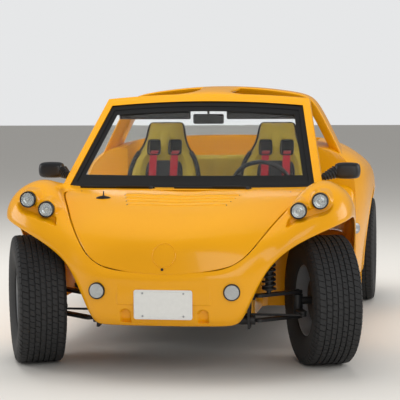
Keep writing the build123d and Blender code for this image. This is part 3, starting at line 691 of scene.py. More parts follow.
def buildHood():
    columns = []
    for k in range(hoodTable["steps"] + 1):
        share = k / hoodTable["steps"]
        bow = share ** hoodTable["bow"]
        column = []
        for row, ((s, z), (ex, es, ez)) in enumerate(zip(hoodTable["middle"], hoodTable["edge"])):
            lift = hoodTable["crown"] * sin(pi * share) * min(1, row / hoodTable["crownRows"])
            x = (ex - hoodTable["gap"] * share) * share
            column.append(place(x, s + (es - s) * bow, z + (ez - z) * bow + lift))
        columns.append(column)
    piece = gridOf(columns)
    skin(piece, hoodTable["wall"], 4, shapeHood)
    return settle(piece, "hood_shell", "hood", "body_gelcoat", ["hood"])


def drapeOn(piece, target, datum):
    # sinks a piece drawn flat at the datum straight back onto a surface, point by point
    back = Vector((0, 1, 0))
    for vertex in piece.data.vertices:
        hit, spot = target.ray_cast(vertex.co - back, back)[:2]
        if hit:
            vertex.co = spot + back * (vertex.co.dot(back) - datum)


# Places and radii on the hood. The datum is a plane ahead of the car in metres, "above" a height over it in mm
hoodTrim = {"ring": (0, 634, 59, 2.6), "lock": (-6, 564, 8), "dots": (580, 262, 4), "stud": 4, "datum": -2.0,
            "above": 3000}
down = Vector((0, 0, -1))


def buildHoodTrim(hood):
    # ring cast into the moulding where a badge sits on such cars, left bare
    x, z, radius, bar = hoodTrim["ring"]
    bpy.ops.object.select_all(action="DESELECT")
    bpy.ops.mesh.primitive_torus_add(major_radius=radius * mm, minor_radius=bar * mm, major_segments=72,
                                     minor_segments=10, rotation=(radians(90), 0, 0),
                                     location=(x * mm, hoodTrim["datum"], z * mm))
    ring = bpy.context.active_object
    bpy.ops.object.transform_apply(location=True, rotation=True, scale=True)
    drapeOn(ring, hood, hoodTrim["datum"])
    smooth(ring)
    settle(ring, "hood_ring", "hood", "body_gelcoat")
    x, z, radius = hoodTrim["lock"]
    spot, normal = landOn(hood, Vector((x * mm, hoodTrim["datum"] - 1, z * mm)), Vector((0, 1, 0)))
    lock = lathe([(-6, 0), (-6, radius - 2), (3, radius - 1), (4, radius - 2), (2.4, radius - 3), (2.4, 1.4),
                  (1, 1.2), (1, 0)], 24, spot, normal)
    settle(lock, "hood_lock", "hood", "black_plastic")
    studs = []
    x, s, radius = hoodTrim["dots"]
    small = hoodTrim["stud"]
    for side in (-1, 1):
        spot, normal = landOn(hood, place(side * x, s, hoodTrim["above"]), down)
        studs.append(lathe([(-3, 0), (-3, radius), (1.2, radius), (2.2, radius * 0.6), (2.4, 0)], 16, spot, normal))
    for lip, half in hoodTable["louvres"]:
        for side in (-1, 1):
            spot, normal = landOn(hood, place(side * (half - 3), lip + 6, hoodTrim["above"]), down)
            studs.append(lathe([(-3, 0), (-3, small), (0.6, small), (0.6, 0)], 12, spot, normal))
    settle(joinPieces(studs), "hood_studs", "hood", "black_plastic")


buildFrontClip()
hoodShell = buildHood()
buildHoodTrim(hoodShell)
print("front body done")


# Headlamps: black bezel, stepped bright bowl, bulb and clear lens
headlamp = {
    "sink": 14, "glass": 1.5, "steps": {"bezel": 48, "bowl": 48, "bulb": 24, "lens": 48},
    "bezel": [(50, 0), (48, 26), (30, 40), (22, 43), (2, 43), (-2, 41), (-3, 38), (-1, 36), (6, 35), (10, 34),
              (40, 24), (44, 0)],
    "bowl": [(12, 0), (12, 10), (14, 12), (15, 18), (11, 25), (11, 27), (8, 28), (8, 31), (3, 33), (2, 35.5),
             (10, 35.8), (18, 20), (18, 0)],
    "bulb": [(14, 0), (14, 8), (3, 8), (0, 6), (-1, 3), (-1.2, 0)],
    "lens": [(0, 35.6), (-2, 30), (-4, 20), (-5, 8), (-5.2, 0)],
}


def buildHeadlamps():
    groups = {name: [] for name in headlamp["steps"]}
    for x, s, z in headlamps:
        for side in (-1, 1):
            spot = place(side * x, s + headlamp["sink"], z)
            for name, steps in headlamp["steps"].items():
                outline = [(-along, out) for along, out in headlamp[name]]
                groups[name].append(lathe(outline, steps, spot, (0, -1, 0)))
            thicken(groups["lens"][-1], headlamp["glass"])
    settle(joinPieces(groups["bezel"]), "headlamp_bezels", "chassis", "black_plastic")
    settle(joinPieces(groups["bowl"]), "headlamp_reflectors", "chassis", "reflector", ["headlamp_bowls"], chrome)
    settle(joinPieces(groups["bulb"]), "headlamp_bulbs", "chassis", "lamp_glass", material=lampGlow)
    settle(joinPieces(groups["lens"]), "headlamp_glasses", "chassis", "lamp_glass", ["headlamp_lenses"])


# Turn lamps: round pale lens with fine concentric ribs in a slim grey ring
turnLamp = {"x": 346, "s": -466, "z": 451, "toe": 0.12, "radius": 36.5, "ribs": 6, "back": -10, "front": 16,
            "rise": 2, "dome": 5}


def buildTurnLamps():
    rims, lenses = [], []
    ribs, front, back, radius = turnLamp["ribs"], turnLamp["front"], turnLamp["back"], turnLamp["radius"]
    peak = front + turnLamp["rise"]
    profile = [(back, 0), (back, radius + 0.5)]
    for k in range(ribs, 0, -1):
        out = radius * k / ribs
        profile += [(front - turnLamp["dome"] * (k / ribs) ** 2, out),
                    (peak - turnLamp["dome"] * ((k - 0.5) / ribs) ** 2, out - 3)]
    profile.append((peak, 0))
    for side in (-1, 1):
        spot = place(side * turnLamp["x"], turnLamp["s"], turnLamp["z"])
        normal = Vector((side * turnLamp["toe"], -1, 0))
        lenses.append(lathe(profile, 48, spot, normal))
        rims.append(lathe([(-12, 37), (-12, 43), (8, 43), (11, 41), (11, 38.5), (9, 37), (-12, 37)], 48, spot,
                          normal))
    settle(joinPieces(rims), "turn_lamp_rims", "chassis", "black_plastic")
    settle(joinPieces(lenses), "turn_lamp_lenses", "chassis", "lamp_glass", ["turn_lamps"], ribbedLens)


# Number plate: bare pressed sheet with a raised border and two slots of screws
plate = {"width": 300, "height": 150, "z": 388, "s": -500, "corner": 12, "screws": (105, 58),
         "rings": [(0, 1.6), (0, 0.2), (0.6, 0), (4, 0), (6, -2.2), (9, -2.2), (11, 0), (40, 0)]}


def buildPlate():
    # pressed sheet: rolled border round a blank field
    cornerX, cornerZ = plate["width"] / 2 - plate["corner"], plate["height"] / 2 - plate["corner"]
    rings = []
    for inset, depth in plate["rings"]:
        reach = max(plate["corner"] - inset, 0.5)
        back = max(inset - plate["corner"] + 0.5, 0)
        ring = []
        for corner, (signX, signZ) in enumerate(((1, 1), (-1, 1), (-1, -1), (1, -1))):
            x, z = (cornerX - back) * signX, (cornerZ - back) * signZ
            for k in range(6):
                turn = radians(90 * corner + 90 * k / 5)
                ring.append(place(x + reach * cos(turn), plate["s"] + depth, plate["z"] + z + reach * sin(turn)))
        rings.append(ring)
    sheet = loopPiece(rings)
    shadeByAngle(sheet, 30)
    settle(sheet, "plate_sheet", "chassis", "plate_white", ["number_plate"])
    screws = []
    for signX in (-1, 1):
        for signZ in (-1, 1):
            spot = place(signX * plate["screws"][0], plate["s"] - 1, plate["z"] + signZ * plate["screws"][1])
            screws.append(lathe([(-2, 0), (-2, 5), (1.6, 5), (2.6, 3), (1.4, 2.4), (1.4, 0)], 20, spot, (0, -1, 0)))
    settle(joinPieces(screws), "plate_screws", "chassis", "wheel_silver")


buildHeadlamps()
buildTurnLamps()
buildPlate()
print("lamps and plate done")


# Wheels: one tyre with its tread blocks and one rim's fittings, copied to each wheel
wheel = {
    "radius": 343.4, "pitches": 66, "tilt": 1.05,
    # carcass from the inner bead round the tread to the outer one, as (along, out)
    "carcass": [(92, 186), (96, 190), (103, 193), (112, 208), (121, 235), (126.5, 262), (127, 284), (126, 300),
                (124.5, 303), (124, 314), (120, 325), (113, 332), (106, 335)],
    # tread ribs as (from, to, drop of the outer edge)
    "ribs": [(-108, -78, 2.5), (-71, -47, 0.6), (-40, -18, 0), (-11, 11, 0), (18, 40, 0), (47, 71, 0.6),
             (78, 108, 2.5)],
    "shoulder": [(110, 341, 121, 330), (122, 327, 125.5, 308)],
    # share of the pitch that a block fills in the middle rows, the outer rows and on the shoulder; how far it is sunk
    "shares": (0.95, 0.9, 0.78), "sunk": (9, 6),
    # how much wider a block's foot is, in mm along the axle and in radians round it
    "foot": 1.2, "flare": 0.0025,
    "bolts": {"count": 5, "start": 0.3, "circle": 0.066}, "valve": 0.158,
}


def treadBlock(near, far, share, gap, outNear, outFar, deep):
    # one block of one pitch, its foot a little wider and sunk in the carcass
    piece = cube()
    pitch = 2 * pi / wheel["pitches"]
    for vertex in piece.data.vertices:
        outer = vertex.co.z > 0
        along = far if vertex.co.x > 0 else near
        foot = 0 if outer else wheel["foot"]
        along += foot if vertex.co.x > 0 else -foot
        out = (outFar if vertex.co.x > 0 else outNear) - (0 if outer else deep)
        half = pitch * share / 2 + (0 if outer else wheel["flare"])
        turn = (half if vertex.co.y > 0 else -half) + gap * pitch + wheel["tilt"] * along * mm
        vertex.co = (along * mm, out * mm * cos(turn), out * mm * sin(turn))
    addModifier(piece, "BEVEL", width=0.001, segments=1)
    applyModifiers(piece)
    inEdit(piece, faceOut)
    return piece


def buildTyreForm():
    half = wheel["carcass"]
    carcass = lathe(half + [(-along, out) for along, out in reversed(half)] + half[:1], 132, (0, 0, 0), (1, 0, 0))
    blocks = []
    radius, (middleShare, outerShare, shoulderShare) = wheel["radius"], wheel["shares"]
    for index, (near, far, drop) in enumerate(wheel["ribs"]):
        nearOut = radius - (drop if near < 0 else 0)
        farOut = radius - (drop if far > 0 else 0)
        share = middleShare if abs(near + far) < 20 else outerShare
        blocks.append(treadBlock(near, far, share, 0.5 * (index % 2), nearOut, farOut, wheel["sunk"][0]))
    for side in (-1, 1):
        for near, nearOut, far, farOut in wheel["shoulder"]:
            (low, lowOut), (high, highOut) = sorted([(side * near, nearOut), (side * far, farOut)])
            blocks.append(treadBlock(low, high, shoulderShare, 0.25 * side, lowOut, highOut, wheel["sunk"][1]))
    tread = joinPieces(blocks)
    inEdit(tread, (bpy.ops.mesh.spin, {"steps": wheel["pitches"], "dupli": True, "angle": 2 * pi,
                                       "center": (0, 0, 0), "axis": (1, 0, 0)}))
    mergeMesh(tread, 0.00001)
    tyre = joinPieces([carcass, tread])
    shadeByAngle(tyre, 30)
    return tyre


def wheelFittings():
    # dished centre cap, bolts and the valve, on a wheel whose outside is +X
    parts = [lathe([(40, 0), (66, 0.01), (74, 8), (76, 24), (74, 36), (66, 41), (50, 42), (40, 42)], 40,
                   (0, 0, 0), (1, 0, 0))]
    bolts = wheel["bolts"]
    for k in range(bolts["count"]):
        turn = 2 * pi * k / bolts["count"] + bolts["start"]
        spot = (0, bolts["circle"] * cos(turn), bolts["circle"] * sin(turn))
        parts.append(lathe([(46, 0), (46, 9), (60, 9), (63, 6), (64, 0)], 6, spot, (1, 0, 0)))
    parts.append(lathe([(50, 0), (50, 4), (74, 3.4), (80, 3.4), (81, 0)], 12, (0, 0, wheel["valve"]), (1, 0, 0)))
    fittings = joinPieces(parts)
    shadeByAngle(fittings, 35)
    return fittings


def copyTo(form, spot, axis, name, body, slotName, stands=()):
    piece = copyOf(form.data, name)
    lay(piece, spot, axis)
    settle(piece, name, body, slotName, stands)


def buildWheels():
    tyre, fittings = buildTyreForm(), wheelFittings()
    for corner in ("front_left", "front_right", "rear_left", "rear_right"):
        joint = [j for j in frame["joints"] if j["name"] == "spin_" + corner][0]
        low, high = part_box("tyre_" + corner)
        centre = (low + high) / 2
        axis = Vector(joint["axis"]) * (1 if "left" in corner else -1)
        copyTo(tyre, centre, axis, "tread_" + corner, "wheel_" + corner, "tyre", ["tyre_" + corner])
        copyTo(fittings, centre, axis, "wheel_cap_" + corner, "wheel_" + corner, "wheel_silver")
        refine("rim_" + corner, "wheel_disc_" + corner, "wheel_silver", 1.5, 25)
    for form in (tyre, fittings):
        bpy.data.objects.remove(form)


buildWheels()
print("wheels done")


# Flanks: a low sill rolled over into the cabin, rising to the scuttle and to the rear wing.
# Each section: station, foot x, middle x and height, high x and height, crown x and height, height at
# the cabin
flank = {
    "wall": 6, "inner": 601, "foot": 236,
    # roll over the cabin's edge, brow between crown and high point, turn at the foot
    "rollDrop": 22, "rollOut": 12, "rollRise": 2, "browOut": 0.72, "browUp": 0.75, "turnRise": 14, "turnIn": 16,
    "rows": [(528, 862, 902, 600, 922, 790, 800, 900, 880), (660, 815, 852, 600, 890, 765, 778, 838, 828),
             (860, 802, 832, 480, 848, 610, 768, 660, 650), (1150, 800, 827, 430, 834, 552, 762, 598, 590),
             (1400, 806, 830, 440, 838, 552, 762, 598, 590), (1590, 822, 840, 480, 852, 610, 772, 665, 655),
             (1716, 846, 862, 560, 866, 745, 792, 828, 812)],
}


def sectionOf(row):
    s, footX, midX, midZ, highX, highZ, crownX, crownZ, innerZ = row
    inner, foot = flank["inner"], flank["foot"]
    browX = blend(crownX, highX, flank["browOut"])
    browZ = blend(highZ, crownZ, flank["browUp"])
    return [place(x, s, z) for x, z in (
        (inner, foot), (inner, innerZ - flank["rollDrop"]), (inner + flank["rollOut"], innerZ),
        ((inner + crownX) / 2, (innerZ + crownZ) / 2 + flank["rollRise"]), (crownX, crownZ), (browX, browZ),
        (highX, highZ), (midX, midZ), (footX, foot + flank["turnRise"]), (footX - flank["turnIn"], foot))]


def buildFlanks():
    piece = gridOf([sectionOf(row) for row in flank["rows"]])
    skin(piece, flank["wall"], 3, None, False)
    settle(joinPieces([piece, otherSide(piece)]), "flank_mouldings", "chassis", "body_gelcoat", ["side_panels"])


# Rear body. Each section: station, deck height, edge x and height, brow x and height, flank x and height, foot x
# and height
rearBody = {
    "wall": 6, "cabin": 600, "cabinRear": 2500, "tail": 470, "endShift": 4, "endBow": 14,
    "rows": [(1722, 1084, 600, 1066, 742, 1034, 862, 880, 858, 236),
             (1780, 1092, 600, 1074, 752, 1042, 886, 884, 872, 242),
             (1920, 1104, 600, 1086, 772, 1048, 930, 882, 896, 256),
             (2100, 1111, 600, 1092, 782, 1044, 950, 872, 910, 272),
             (2300, 1112, 600, 1092, 786, 1036, 962, 860, 922, 290),
             (2494, 1106, 600, 1086, 784, 1024, 964, 848, 930, 312),
             (2506, 1106, 600, 1086, 784, 1022, 964, 846, 930, 314),
             (2680, 1080, 600, 1056, 766, 994, 950, 826, 912, 342),
             (2860, 1026, 570, 1004, 724, 944, 908, 796, 868, 380),
             (2970, 964, 520, 948, 668, 890, 840, 756, 800, 410),
             (3020, 918, 480, 902, 620, 850, 780, 730, 752, 428)],
    "shrink": [(3036, 0.965), (3042, 0.9), (3045, 0.7), (3046, 0.35), (3046, 0.0)],
}
arch = {"s": 2400, "z": 344, "radius": 425, "inner": 640, "width": 500, "lip": 7,
        # arc of the lips in degrees, from how far beside the car and how far outside the opening they are found
        "start": -14, "sweep": 208, "steps": 36, "beside": 1200, "grow": 1.02, "least": 0.7, "sunk": 0.6}
# slots: half width, half length, spacing across, spacing along, number along
lid = {"front": 2570, "rear": 3010, "half": 400, "gap": 2.5, "z": 1000, "tall": 600, "round": 30,
       "slots": (110, 8, 300, 34, 7), "slotRound": 7}


def rearSection(row):
    s, deck, edgeX, edgeZ, browX, browZ, sideX, sideZ, footX, footZ = row
    return [place(x, s, z) for x, z in (
        (0, deck), (edgeX / 2, blend(deck, edgeZ, 0.25) + 3), (edgeX, edgeZ),
        (blend(edgeX, browX, 0.6), blend(edgeZ, browZ, 0.45)), (browX, browZ),
        (blend(browX, sideX, 0.68), blend(browZ, sideZ, 0.48)), (sideX, sideZ),
        (blend(sideX, footX, 0.4) + 6, (sideZ + footZ) / 2), (footX, footZ))]


def cutWith(piece, cutter, kind):
    addModifier(piece, "BOOLEAN", operation=kind, object=cutter, solver="EXACT")
    applyModifiers(piece)
    bpy.data.objects.remove(cutter)


def rearCage():
    # sections drawn in to a rounded tail, without the part over the cabin
    columns = [rearSection(row) for row in rearBody["rows"]]
    last, low = columns[-1], place(0, 0, rearBody["tail"]).z
    for s, share in rearBody["shrink"]:
        columns.append([Vector((p.x * share, frontAxleY + s * mm, low + (p.z - low) * share)) for p in last])
    piece = gridOf(columns)
    mergeMesh(piece)
    selectFaces(piece, lambda middle: middle.y < frontAxleY + rearBody["cabinRear"] * mm
                and middle.x < rearBody["cabin"] * mm)
    bpy.ops.mesh.delete(type="FACE")
    bpy.ops.object.mode_set(mode="OBJECT")
    roundCage(piece, 3)
    return piece


def buildEndWalls(body):
    # end walls of the rear wings, from the skin's front edge to the cabin side
    fore, cabin = frontAxleY + rearBody["rows"][0][0] * mm, rearBody["cabin"] * mm
    shift, bow = rearBody["endShift"] * mm, rearBody["endBow"] * mm
    edge = sorted((v.co.copy() for v in body.data.vertices if abs(v.co.y - fore) < 0.0005 and v.co.x > cabin),
                  key=lambda p: p.z)
    wall = gridOf([[Vector((p.x + (cabin - p.x) * share, fore + shift - bow * share * (1 - share), p.z))
                    for share in (0, 0.25, 0.5, 0.75, 1)] for p in edge])
    mergeMesh(wall)
    thicken(wall, rearBody["wall"])
    inEdit(wall, faceOut)
    settle(joinPieces([wall, otherSide(wall)]), "wing_end_walls", "chassis", "body_gelcoat")


def wheelWells():
    wells = []
    for side in (-1, 1):
        bpy.ops.object.select_all(action="DESELECT")
        bpy.ops.mesh.primitive_cylinder_add(
            vertices=96, radius=arch["radius"] * mm, depth=arch["width"] * mm, rotation=(0, radians(90), 0),
            location=place(side * (arch["inner"] + arch["width"] / 2), arch["s"], arch["z"]))
        wells.append(bpy.context.active_object)
        bpy.ops.object.transform_apply(location=True, rotation=True, scale=True)
    return joinPieces(wells)


def lidBlock(margin):
    return boxAt(0, (lid["front"] + lid["rear"]) / 2, lid["z"], 2 * (lid["half"] + margin),
                 lid["rear"] - lid["front"] + 2 * margin, lid["tall"], lid["round"], 4)


def lidSlots():
    half, tall, pitchX, pitchS, count = lid["slots"]
    slots = []
    for side in (-1, 1):
        for k in range(count):
            s = (lid["front"] + lid["rear"]) / 2 + (k - (count - 1) / 2) * pitchS
            slots.append(boxAt(side * pitchX / 2, s, lid["z"], 2 * half, 2 * tall, lid["tall"], lid["slotRound"]))
    return joinPieces(slots)


def buildRear():
    piece = rearCage()
    buildEndWalls(piece)
    thicken(piece, rearBody["wall"])
    cutWith(piece, wheelWells(), "DIFFERENCE")
    cover = copyOf(piece.data, "cover")
    cutWith(cover, lidBlock(-lid["gap"]), "INTERSECT")
    cutWith(piece, lidBlock(lid["gap"]), "DIFFERENCE")
    cutWith(cover, lidSlots(), "DIFFERENCE")
    for part in (piece, cover):
        shadeByAngle(part, 40)
    settle(cover, "engine_lid_moulding", "engine_lid", "body_gelcoat", ["engine_lid"])
    return settle(piece, "rear_moulding", "chassis", "body_gelcoat", ["rear_body"])


def archLips(body):
    # rolled edges that follow the wheel openings round the rear wings
    lips = []
    for side in (-1, 1):
        points = []
        for k in range(arch["steps"] + 1):
            turn = radians(arch["start"] + arch["sweep"] * k / arch["steps"])
            across, up = -arch["radius"] * cos(turn), arch["radius"] * sin(turn)
            probe = place(side * arch["beside"], arch["s"] + across * arch["grow"], arch["z"] + up * arch["grow"])
            spot = landOn(body, probe, Vector((-side, 0, 0)))[0]
            if spot.x * side > arch["least"]:
                point = place(0, arch["s"] + across, arch["z"] + up)
                point.x = spot.x - side * arch["lip"] * arch["sunk"] * mm
                points.append(point)
        lips.append(tube(points, arch["lip"]))
    settle(joinPieces(lips), "arch_lips", "chassis", "body_gelcoat")


buildFlanks()
rearShell = buildRear()
archLips(rearShell)
print("flanks and rear done")


# Roof: hoop behind the seats and a flat spine forward to the screen
hoop = {
    "front": 1745, "rear": 2030, "round": 14, "crown": 1452,
    "outer": [(785, 1000), (640, 1300), (575, 1385), (470, 1412), (240, 1442)],
    "inner": [(715, 1000), (580, 1275), (530, 1330), (440, 1352), (230, 1382)],
    "innerCrown": 1392,
    "spine": [(1226, 330, 1408), (1256, 200, 1419), (1310, 132, 1428), (1420, 104, 1438), (1560, 102, 1445),
              (1765, 128, 1450)],
    "spineDrop": 34, "overhang": 46, "chamfer": 0.16,
}


def buildRoof():
    line = list(zip(hoop["outer"], hoop["inner"]))
    line += [((0, hoop["crown"]), (0, hoop["innerCrown"]))] + [((-o[0], o[1]), (-i[0], i[1]))
                                                               for o, i in reversed(line)]
    front, rear, edge, lean = hoop["front"], hoop["rear"], hoop["round"], hoop["overhang"]
    middle = (front + rear) / 2
    rings = []
    for (ox, oz), (ix, iz) in line:
        dx, dz = (ox - ix) * hoop["chamfer"], (oz - iz) * hoop["chamfer"]
        rings.append([place(*point) for point in (
            (ix, front + edge + lean, iz), (ix + dx, front + lean, iz + dz), (ox - dx, front, oz - dz),
            (ox, front + edge, oz), (ox, middle, oz), (ox, rear - edge, oz), (ox - dx, rear, oz - dz),
            (ix + dx, rear, iz + dz), (ix, rear - edge, iz), (ix, middle, iz))])
    piece = sleeve(rings)
    smooth(piece, 3)
    settle(piece, "hoop_moulding", "chassis", "body_gelcoat", ["roof_hoop"])
    rings = []
    for s, half, top in hoop["spine"]:
        low = top - hoop["spineDrop"]
        rings.append([place(x, s, z) for x, z in (
            (-half + 10, low), (-half, low + 8), (-half, top - 14), (-half + 12, top - 3), (0, top),
            (half - 12, top - 3), (half, top - 14), (half, low + 8), (half - 10, low), (0, low))])
    spine = sleeve(rings)
    smooth(spine, 2)
    settle(spine, "spine_moulding", "chassis", "body_gelcoat", ["roof_spine"])


buildRoof()
print("roof done")


# Black mirrors on ribbed stalks. Rings of the shell: depth and share of the full size; glass: width and height as
# shares of half the shell's, with its thickness between them
mirror = {"x": (834, 868), "foot": (706, 572, 946), "s": 600, "z": 992, "wide": 152, "tall": 94, "ribs": 5,
          "rings": [(-40, 0.55), (-36, 0.8), (-20, 0.94), (6, 1.0), (24, 1.0), (26, 0.97), (20, 0.9)],
          "glass": (1.72, 4, 1.64)}


def squared(value):
    # a circle's coordinate, pushed out towards a rounded square
    return abs(value) ** 0.5 * (1 if value > 0 else -1)


def buildMirrors():
    shells, glasses, boots = [], [], []
    s, z, half, tall = mirror["s"], mirror["z"], mirror["wide"] / 2, mirror["tall"] / 2
    turns = [2 * pi * k / 16 for k in range(16)]
    for side, x in zip((-1, 1), mirror["x"]):
        shell = loopPiece([[place(side * x + half * share * squared(cos(turn)), s + depth,
                                  z + tall * share * squared(sin(turn))) for turn in turns]
                           for depth, share in mirror["rings"]])
        smooth(shell, 1)
        shells.append(shell)
        wide, deep, high = mirror["glass"]
        glasses.append(boxAt(side * x, s + 21, z, half * wide, deep, tall * high, 1.5))
        start = place(side * (x - half + 14), s, z - 6)
        run = place(side * mirror["foot"][0], *mirror["foot"][1:]) - start
        reach = run.length / mm
        profile = [(0, 0), (0, 34)]
        for k in range(mirror["ribs"]):
            along = 4 + (reach - 30) * k / mirror["ribs"]
            out = 34 - 18 * k / mirror["ribs"]
            profile += [(along, out + 3), (along + 5, out + 3), (along + 9, out - 3)]
        profile += [(reach - 16, 12), (reach - 10, 22), (reach + 6, 24), (reach + 6, 0)]
        boots.append(lathe(profile, 28, start, run))
    settle(joinPieces(shells + boots), "mirror_shells", "chassis", "black_plastic", ["side_mirrors"])
    settle(joinPieces(glasses), "mirror_glasses", "chassis", "black_plastic", material=finishes["mirror_glass"])


# Black border of the screen: rubber on the frame's rebate, then a printed band on the glass
border = {"foot": (700, 900), "head": (578, 1346), "crown": 1372, "skew": 1.037, "thick": 0.8,
          "rows": [(1, 16.4), (12, 13.5), (25, 16), (30, 23.6), (42, 24.2), (58, 24.2)]}
# Barrel of the glass: its foot and height, its station there and its run, and how far its middle stands forward
screen = {"low": 886, "tall": 471, "front": 450, "run": 725, "half": 780, "bow": 125, "flatter": 50}


def screenStation(x, z, depth):
    share = (z - screen["low"]) / screen["tall"]
    bow = screen["bow"] - screen["flatter"] * share
    bend = (screen["half"] ** 2 + bow ** 2) / (2 * bow)
    return screen["front"] + screen["run"] * share + depth - bow + bend - (bend ** 2 - x ** 2) ** 0.5


def borderRing(inset):
    # outline of the screen in front view, drawn in by inset
    (footX, footZ), (headX, headZ), crown = border["foot"], border["head"], border["crown"]
    low = footZ + inset * 1.2
    lean = (footX - headX) / (headZ - footZ)

    def sideX(z):
        return footX - (z - footZ) * lean - inset * border["skew"]

    def headLevel(x):
        return crown - (crown - headZ) * (x / headX) ** 2 - inset

    x = headX - inset
    for step in range(4):
        z = headLevel(x)
        x = sideX(z)
    foot = sideX(low)
    right = [(foot * k / 10, low) for k in range(0, 11)]
    right += [(foot + (x - foot) * k / 8, low + (z - low) * k / 8) for k in range(1, 9)]
    right += [(x * k / 10, headLevel(x * k / 10)) for k in range(9, -1, -1)]
    return right + [(-a, b) for a, b in reversed(right[1:-1])] + right[:1]


def buildBorder():
    band = gridOf([[place(x, screenStation(x, z, depth), z) for x, z in borderRing(inset)]
                   for inset, depth in border["rows"]])
    mergeMesh(band)
    thicken(band, border["thick"], 0)
    inEdit(band, faceOut)
    shadeByAngle(band, 35)
    settle(band, "screen_border", "chassis", "rubber_trim")


buildBorder()

# Inside mirror and sun visors on bent wires: x, station, height, width, tallness
header = {"mirror": (0, 1200, 1262, 187, 60), "visors": (330, 1206, 1297, 440, 74)}


def buildHeader():
    x, s, z, wide, tall = header["mirror"]
    parts = [boxAt(x, s, z, wide, 24, tall, 11, 5),
             tube([place(x, s, z + 10), place(x, s - 4, z + 60), place(x, s - 20, z + 104)], 7)]
    settle(joinPieces(parts), "inside_mirror", "chassis", "black_plastic")
    glass = boxAt(x, s + 12.25, z, wide - 16, 2.5, tall - 14, 1)
    settle(glass, "inside_mirror_glass", "chassis", "black_plastic", material=finishes["mirror_glass"])
    x, s, z, wide, tall = header["visors"]
    wires = (((x - wide / 2 + 14, 0, 26), (x - wide / 2 + 8, 0, 50), (x - wide / 2 + 4, -10, 72)),
             ((x + wide / 2 - 30, 0, 28), (x + wide / 2 - 30, 0, 52), (x + wide / 2 - 32, -10, 72)))
    parts = []
    for side in (-1, 1):
        parts.append(boxAt(side * x, s, z, wide, 18, tall, 8.5, 5))
        parts += [tube([place(side * across, s + back, z + up) for across, back, up in wire], 4) for wire in wires]
    settle(joinPieces(parts), "sun_visors", "chassis", "black_plastic")


wiper = {"pivots": [(-205, -400), (335, 140)], "s": 338, "z": 914, "blade": 430, "bow": 0.000112}


def buildWipers():
    parts = []
    s, z, half = wiper["s"], wiper["z"], wiper["blade"] / 2
    for pivot, middle in wiper["pivots"]:
        parts.append(lathe([(-30, 0), (-30, 10), (0, 11), (6, 9), (8, 0)], 20, place(pivot, s + 4, z), (0, 0, 1)))
        parts.append(tube([place(pivot, s + 4, z + 4), place(pivot * 0.75 + middle * 0.25, s + 2, z + 8),
                           place(pivot * 0.3 + middle * 0.7, s + 2, z + 8), place(middle, s + 4, z + 6)], 5))
        across = [middle + half * k / 4 for k in range(-4, 5)]
        line = [place(x, s + 6 + wiper["bow"] * x * x, z + 1) for x in across]
        parts += [tube(line, 5), tube([p + Vector((0, 0.003, -0.008)) for p in line], 3.5)]
    settle(joinPieces(parts), "wiper_arms", "chassis", "black_plastic")


# Damper bodies in their springs: x, station, low and high ends
damper = {"front": (500, -137, 400, 640), "rear": (572, 2535, 350, 600)}


def buildDampers():
    parts = []
    for x, s, low, high in damper.values():
        for side in (-1, 1):
            run = high - low
            parts.append(lathe([(0, 0), (0, 11), (14, 13), (16, 20), (run * 0.5, 20), (run * 0.52, 16),
                                (run * 0.54, 9), (run - 26, 9), (run - 24, 30), (run - 10, 32), (run - 4, 12),
                                (run, 11), (run, 0)], 24, place(side * x, s, low), (0, 0, 1)))
            parts.append(lathe([(22, 20), (22, 36), (26, 38), (30, 36), (30, 20), (22, 20)], 24,
                               place(side * x, s, low), (0, 0, 1)))
    settle(joinPieces(parts), "dampers", "chassis", "chassis_black")


# Wall between the nose and the footwells, carried up under the scuttle
bulkhead = {"half": 392, "low": 240, "line": [(112, 240), (112, 600), (118, 700), (180, 790), (320, 858)], "wall": 5,
            # side walls in plan, with the height of the top edge
            "sides": [(396, 114, 740), (398, 300, 800), (402, 450, 845), (430, 486, 850), (596, 494, 850)]}


def buildBulkhead():
    half, low = bulkhead["half"], bulkhead["low"]
    parts = [gridOf([[place(half * share, s, z) for s, z in bulkhead["line"]] for share in (-1, -0.5, 0, 0.5, 1)])]
    for side in (-1, 1):
        parts.append(gridOf([[place(side * x, s, low + (top - low) * k / 4) for k in range(5)]
                             for x, s, top in bulkhead["sides"]]))
    wall = joinPieces(parts)
    thicken(wall, bulkhead["wall"], 0)
    addModifier(wall, "BEVEL", width=0.002, segments=2)
    applyModifiers(wall)
    inEdit(wall, faceOut)
    shadeByAngle(wall, 40)
    settle(wall, "bulkhead", "chassis", "body_gelcoat")


buildBulkhead()

# Pedals, shift lever and handbrake
controls = {"pedals": [(200, 62), (285, 62), (360, 46)], "lever": (0, 1010, 385, 290),
            "brake": [(1300, 392), (1240, 410), (1150, 440), (1060, 466)]}


def buildControls():
    parts = []
    for x, wide in controls["pedals"]:
        parts.append(tube([place(x, 196, 246), place(x, 176, 320), place(x, 160, 398)], 6))
        parts.append(boxAt(x, 153, 396, wide, 10, 56, 4))
    x, s, low, tall = controls["lever"]
    parts.append(lathe([(0, 0), (0, 44), (10, 42), (14, 30), (22, 28), (26, 18), (36, 14), (40, 6.5),
                        (tall - 26, 6), (tall - 22, 12), (tall - 10, 21), (tall + 4, 23), (tall + 16, 17),
                        (tall + 21, 0)], 32, place(x, s, low), (0, 0, 1)))
    parts.append(tube([place(0, s, z) for s, z in controls["brake"]], 8))
    parts.append(tube([place(0, s, z) for s, z in controls["brake"][2:]], 13))
    parts.append(boxAt(0, 1290, 398, 44, 80, 28, 8))
    settle(joinPieces(parts), "floor_levers", "chassis", "black_plastic")


# Filler cap on the left side and the aerial's foot on the hood
filler = {"x": 850, "s": 1700, "z": 552, "turn": (1, -0.9, 0.05)}
aerial = {"x": -422, "s": 88, "long": 41, "wide": 21, "tall": 12}


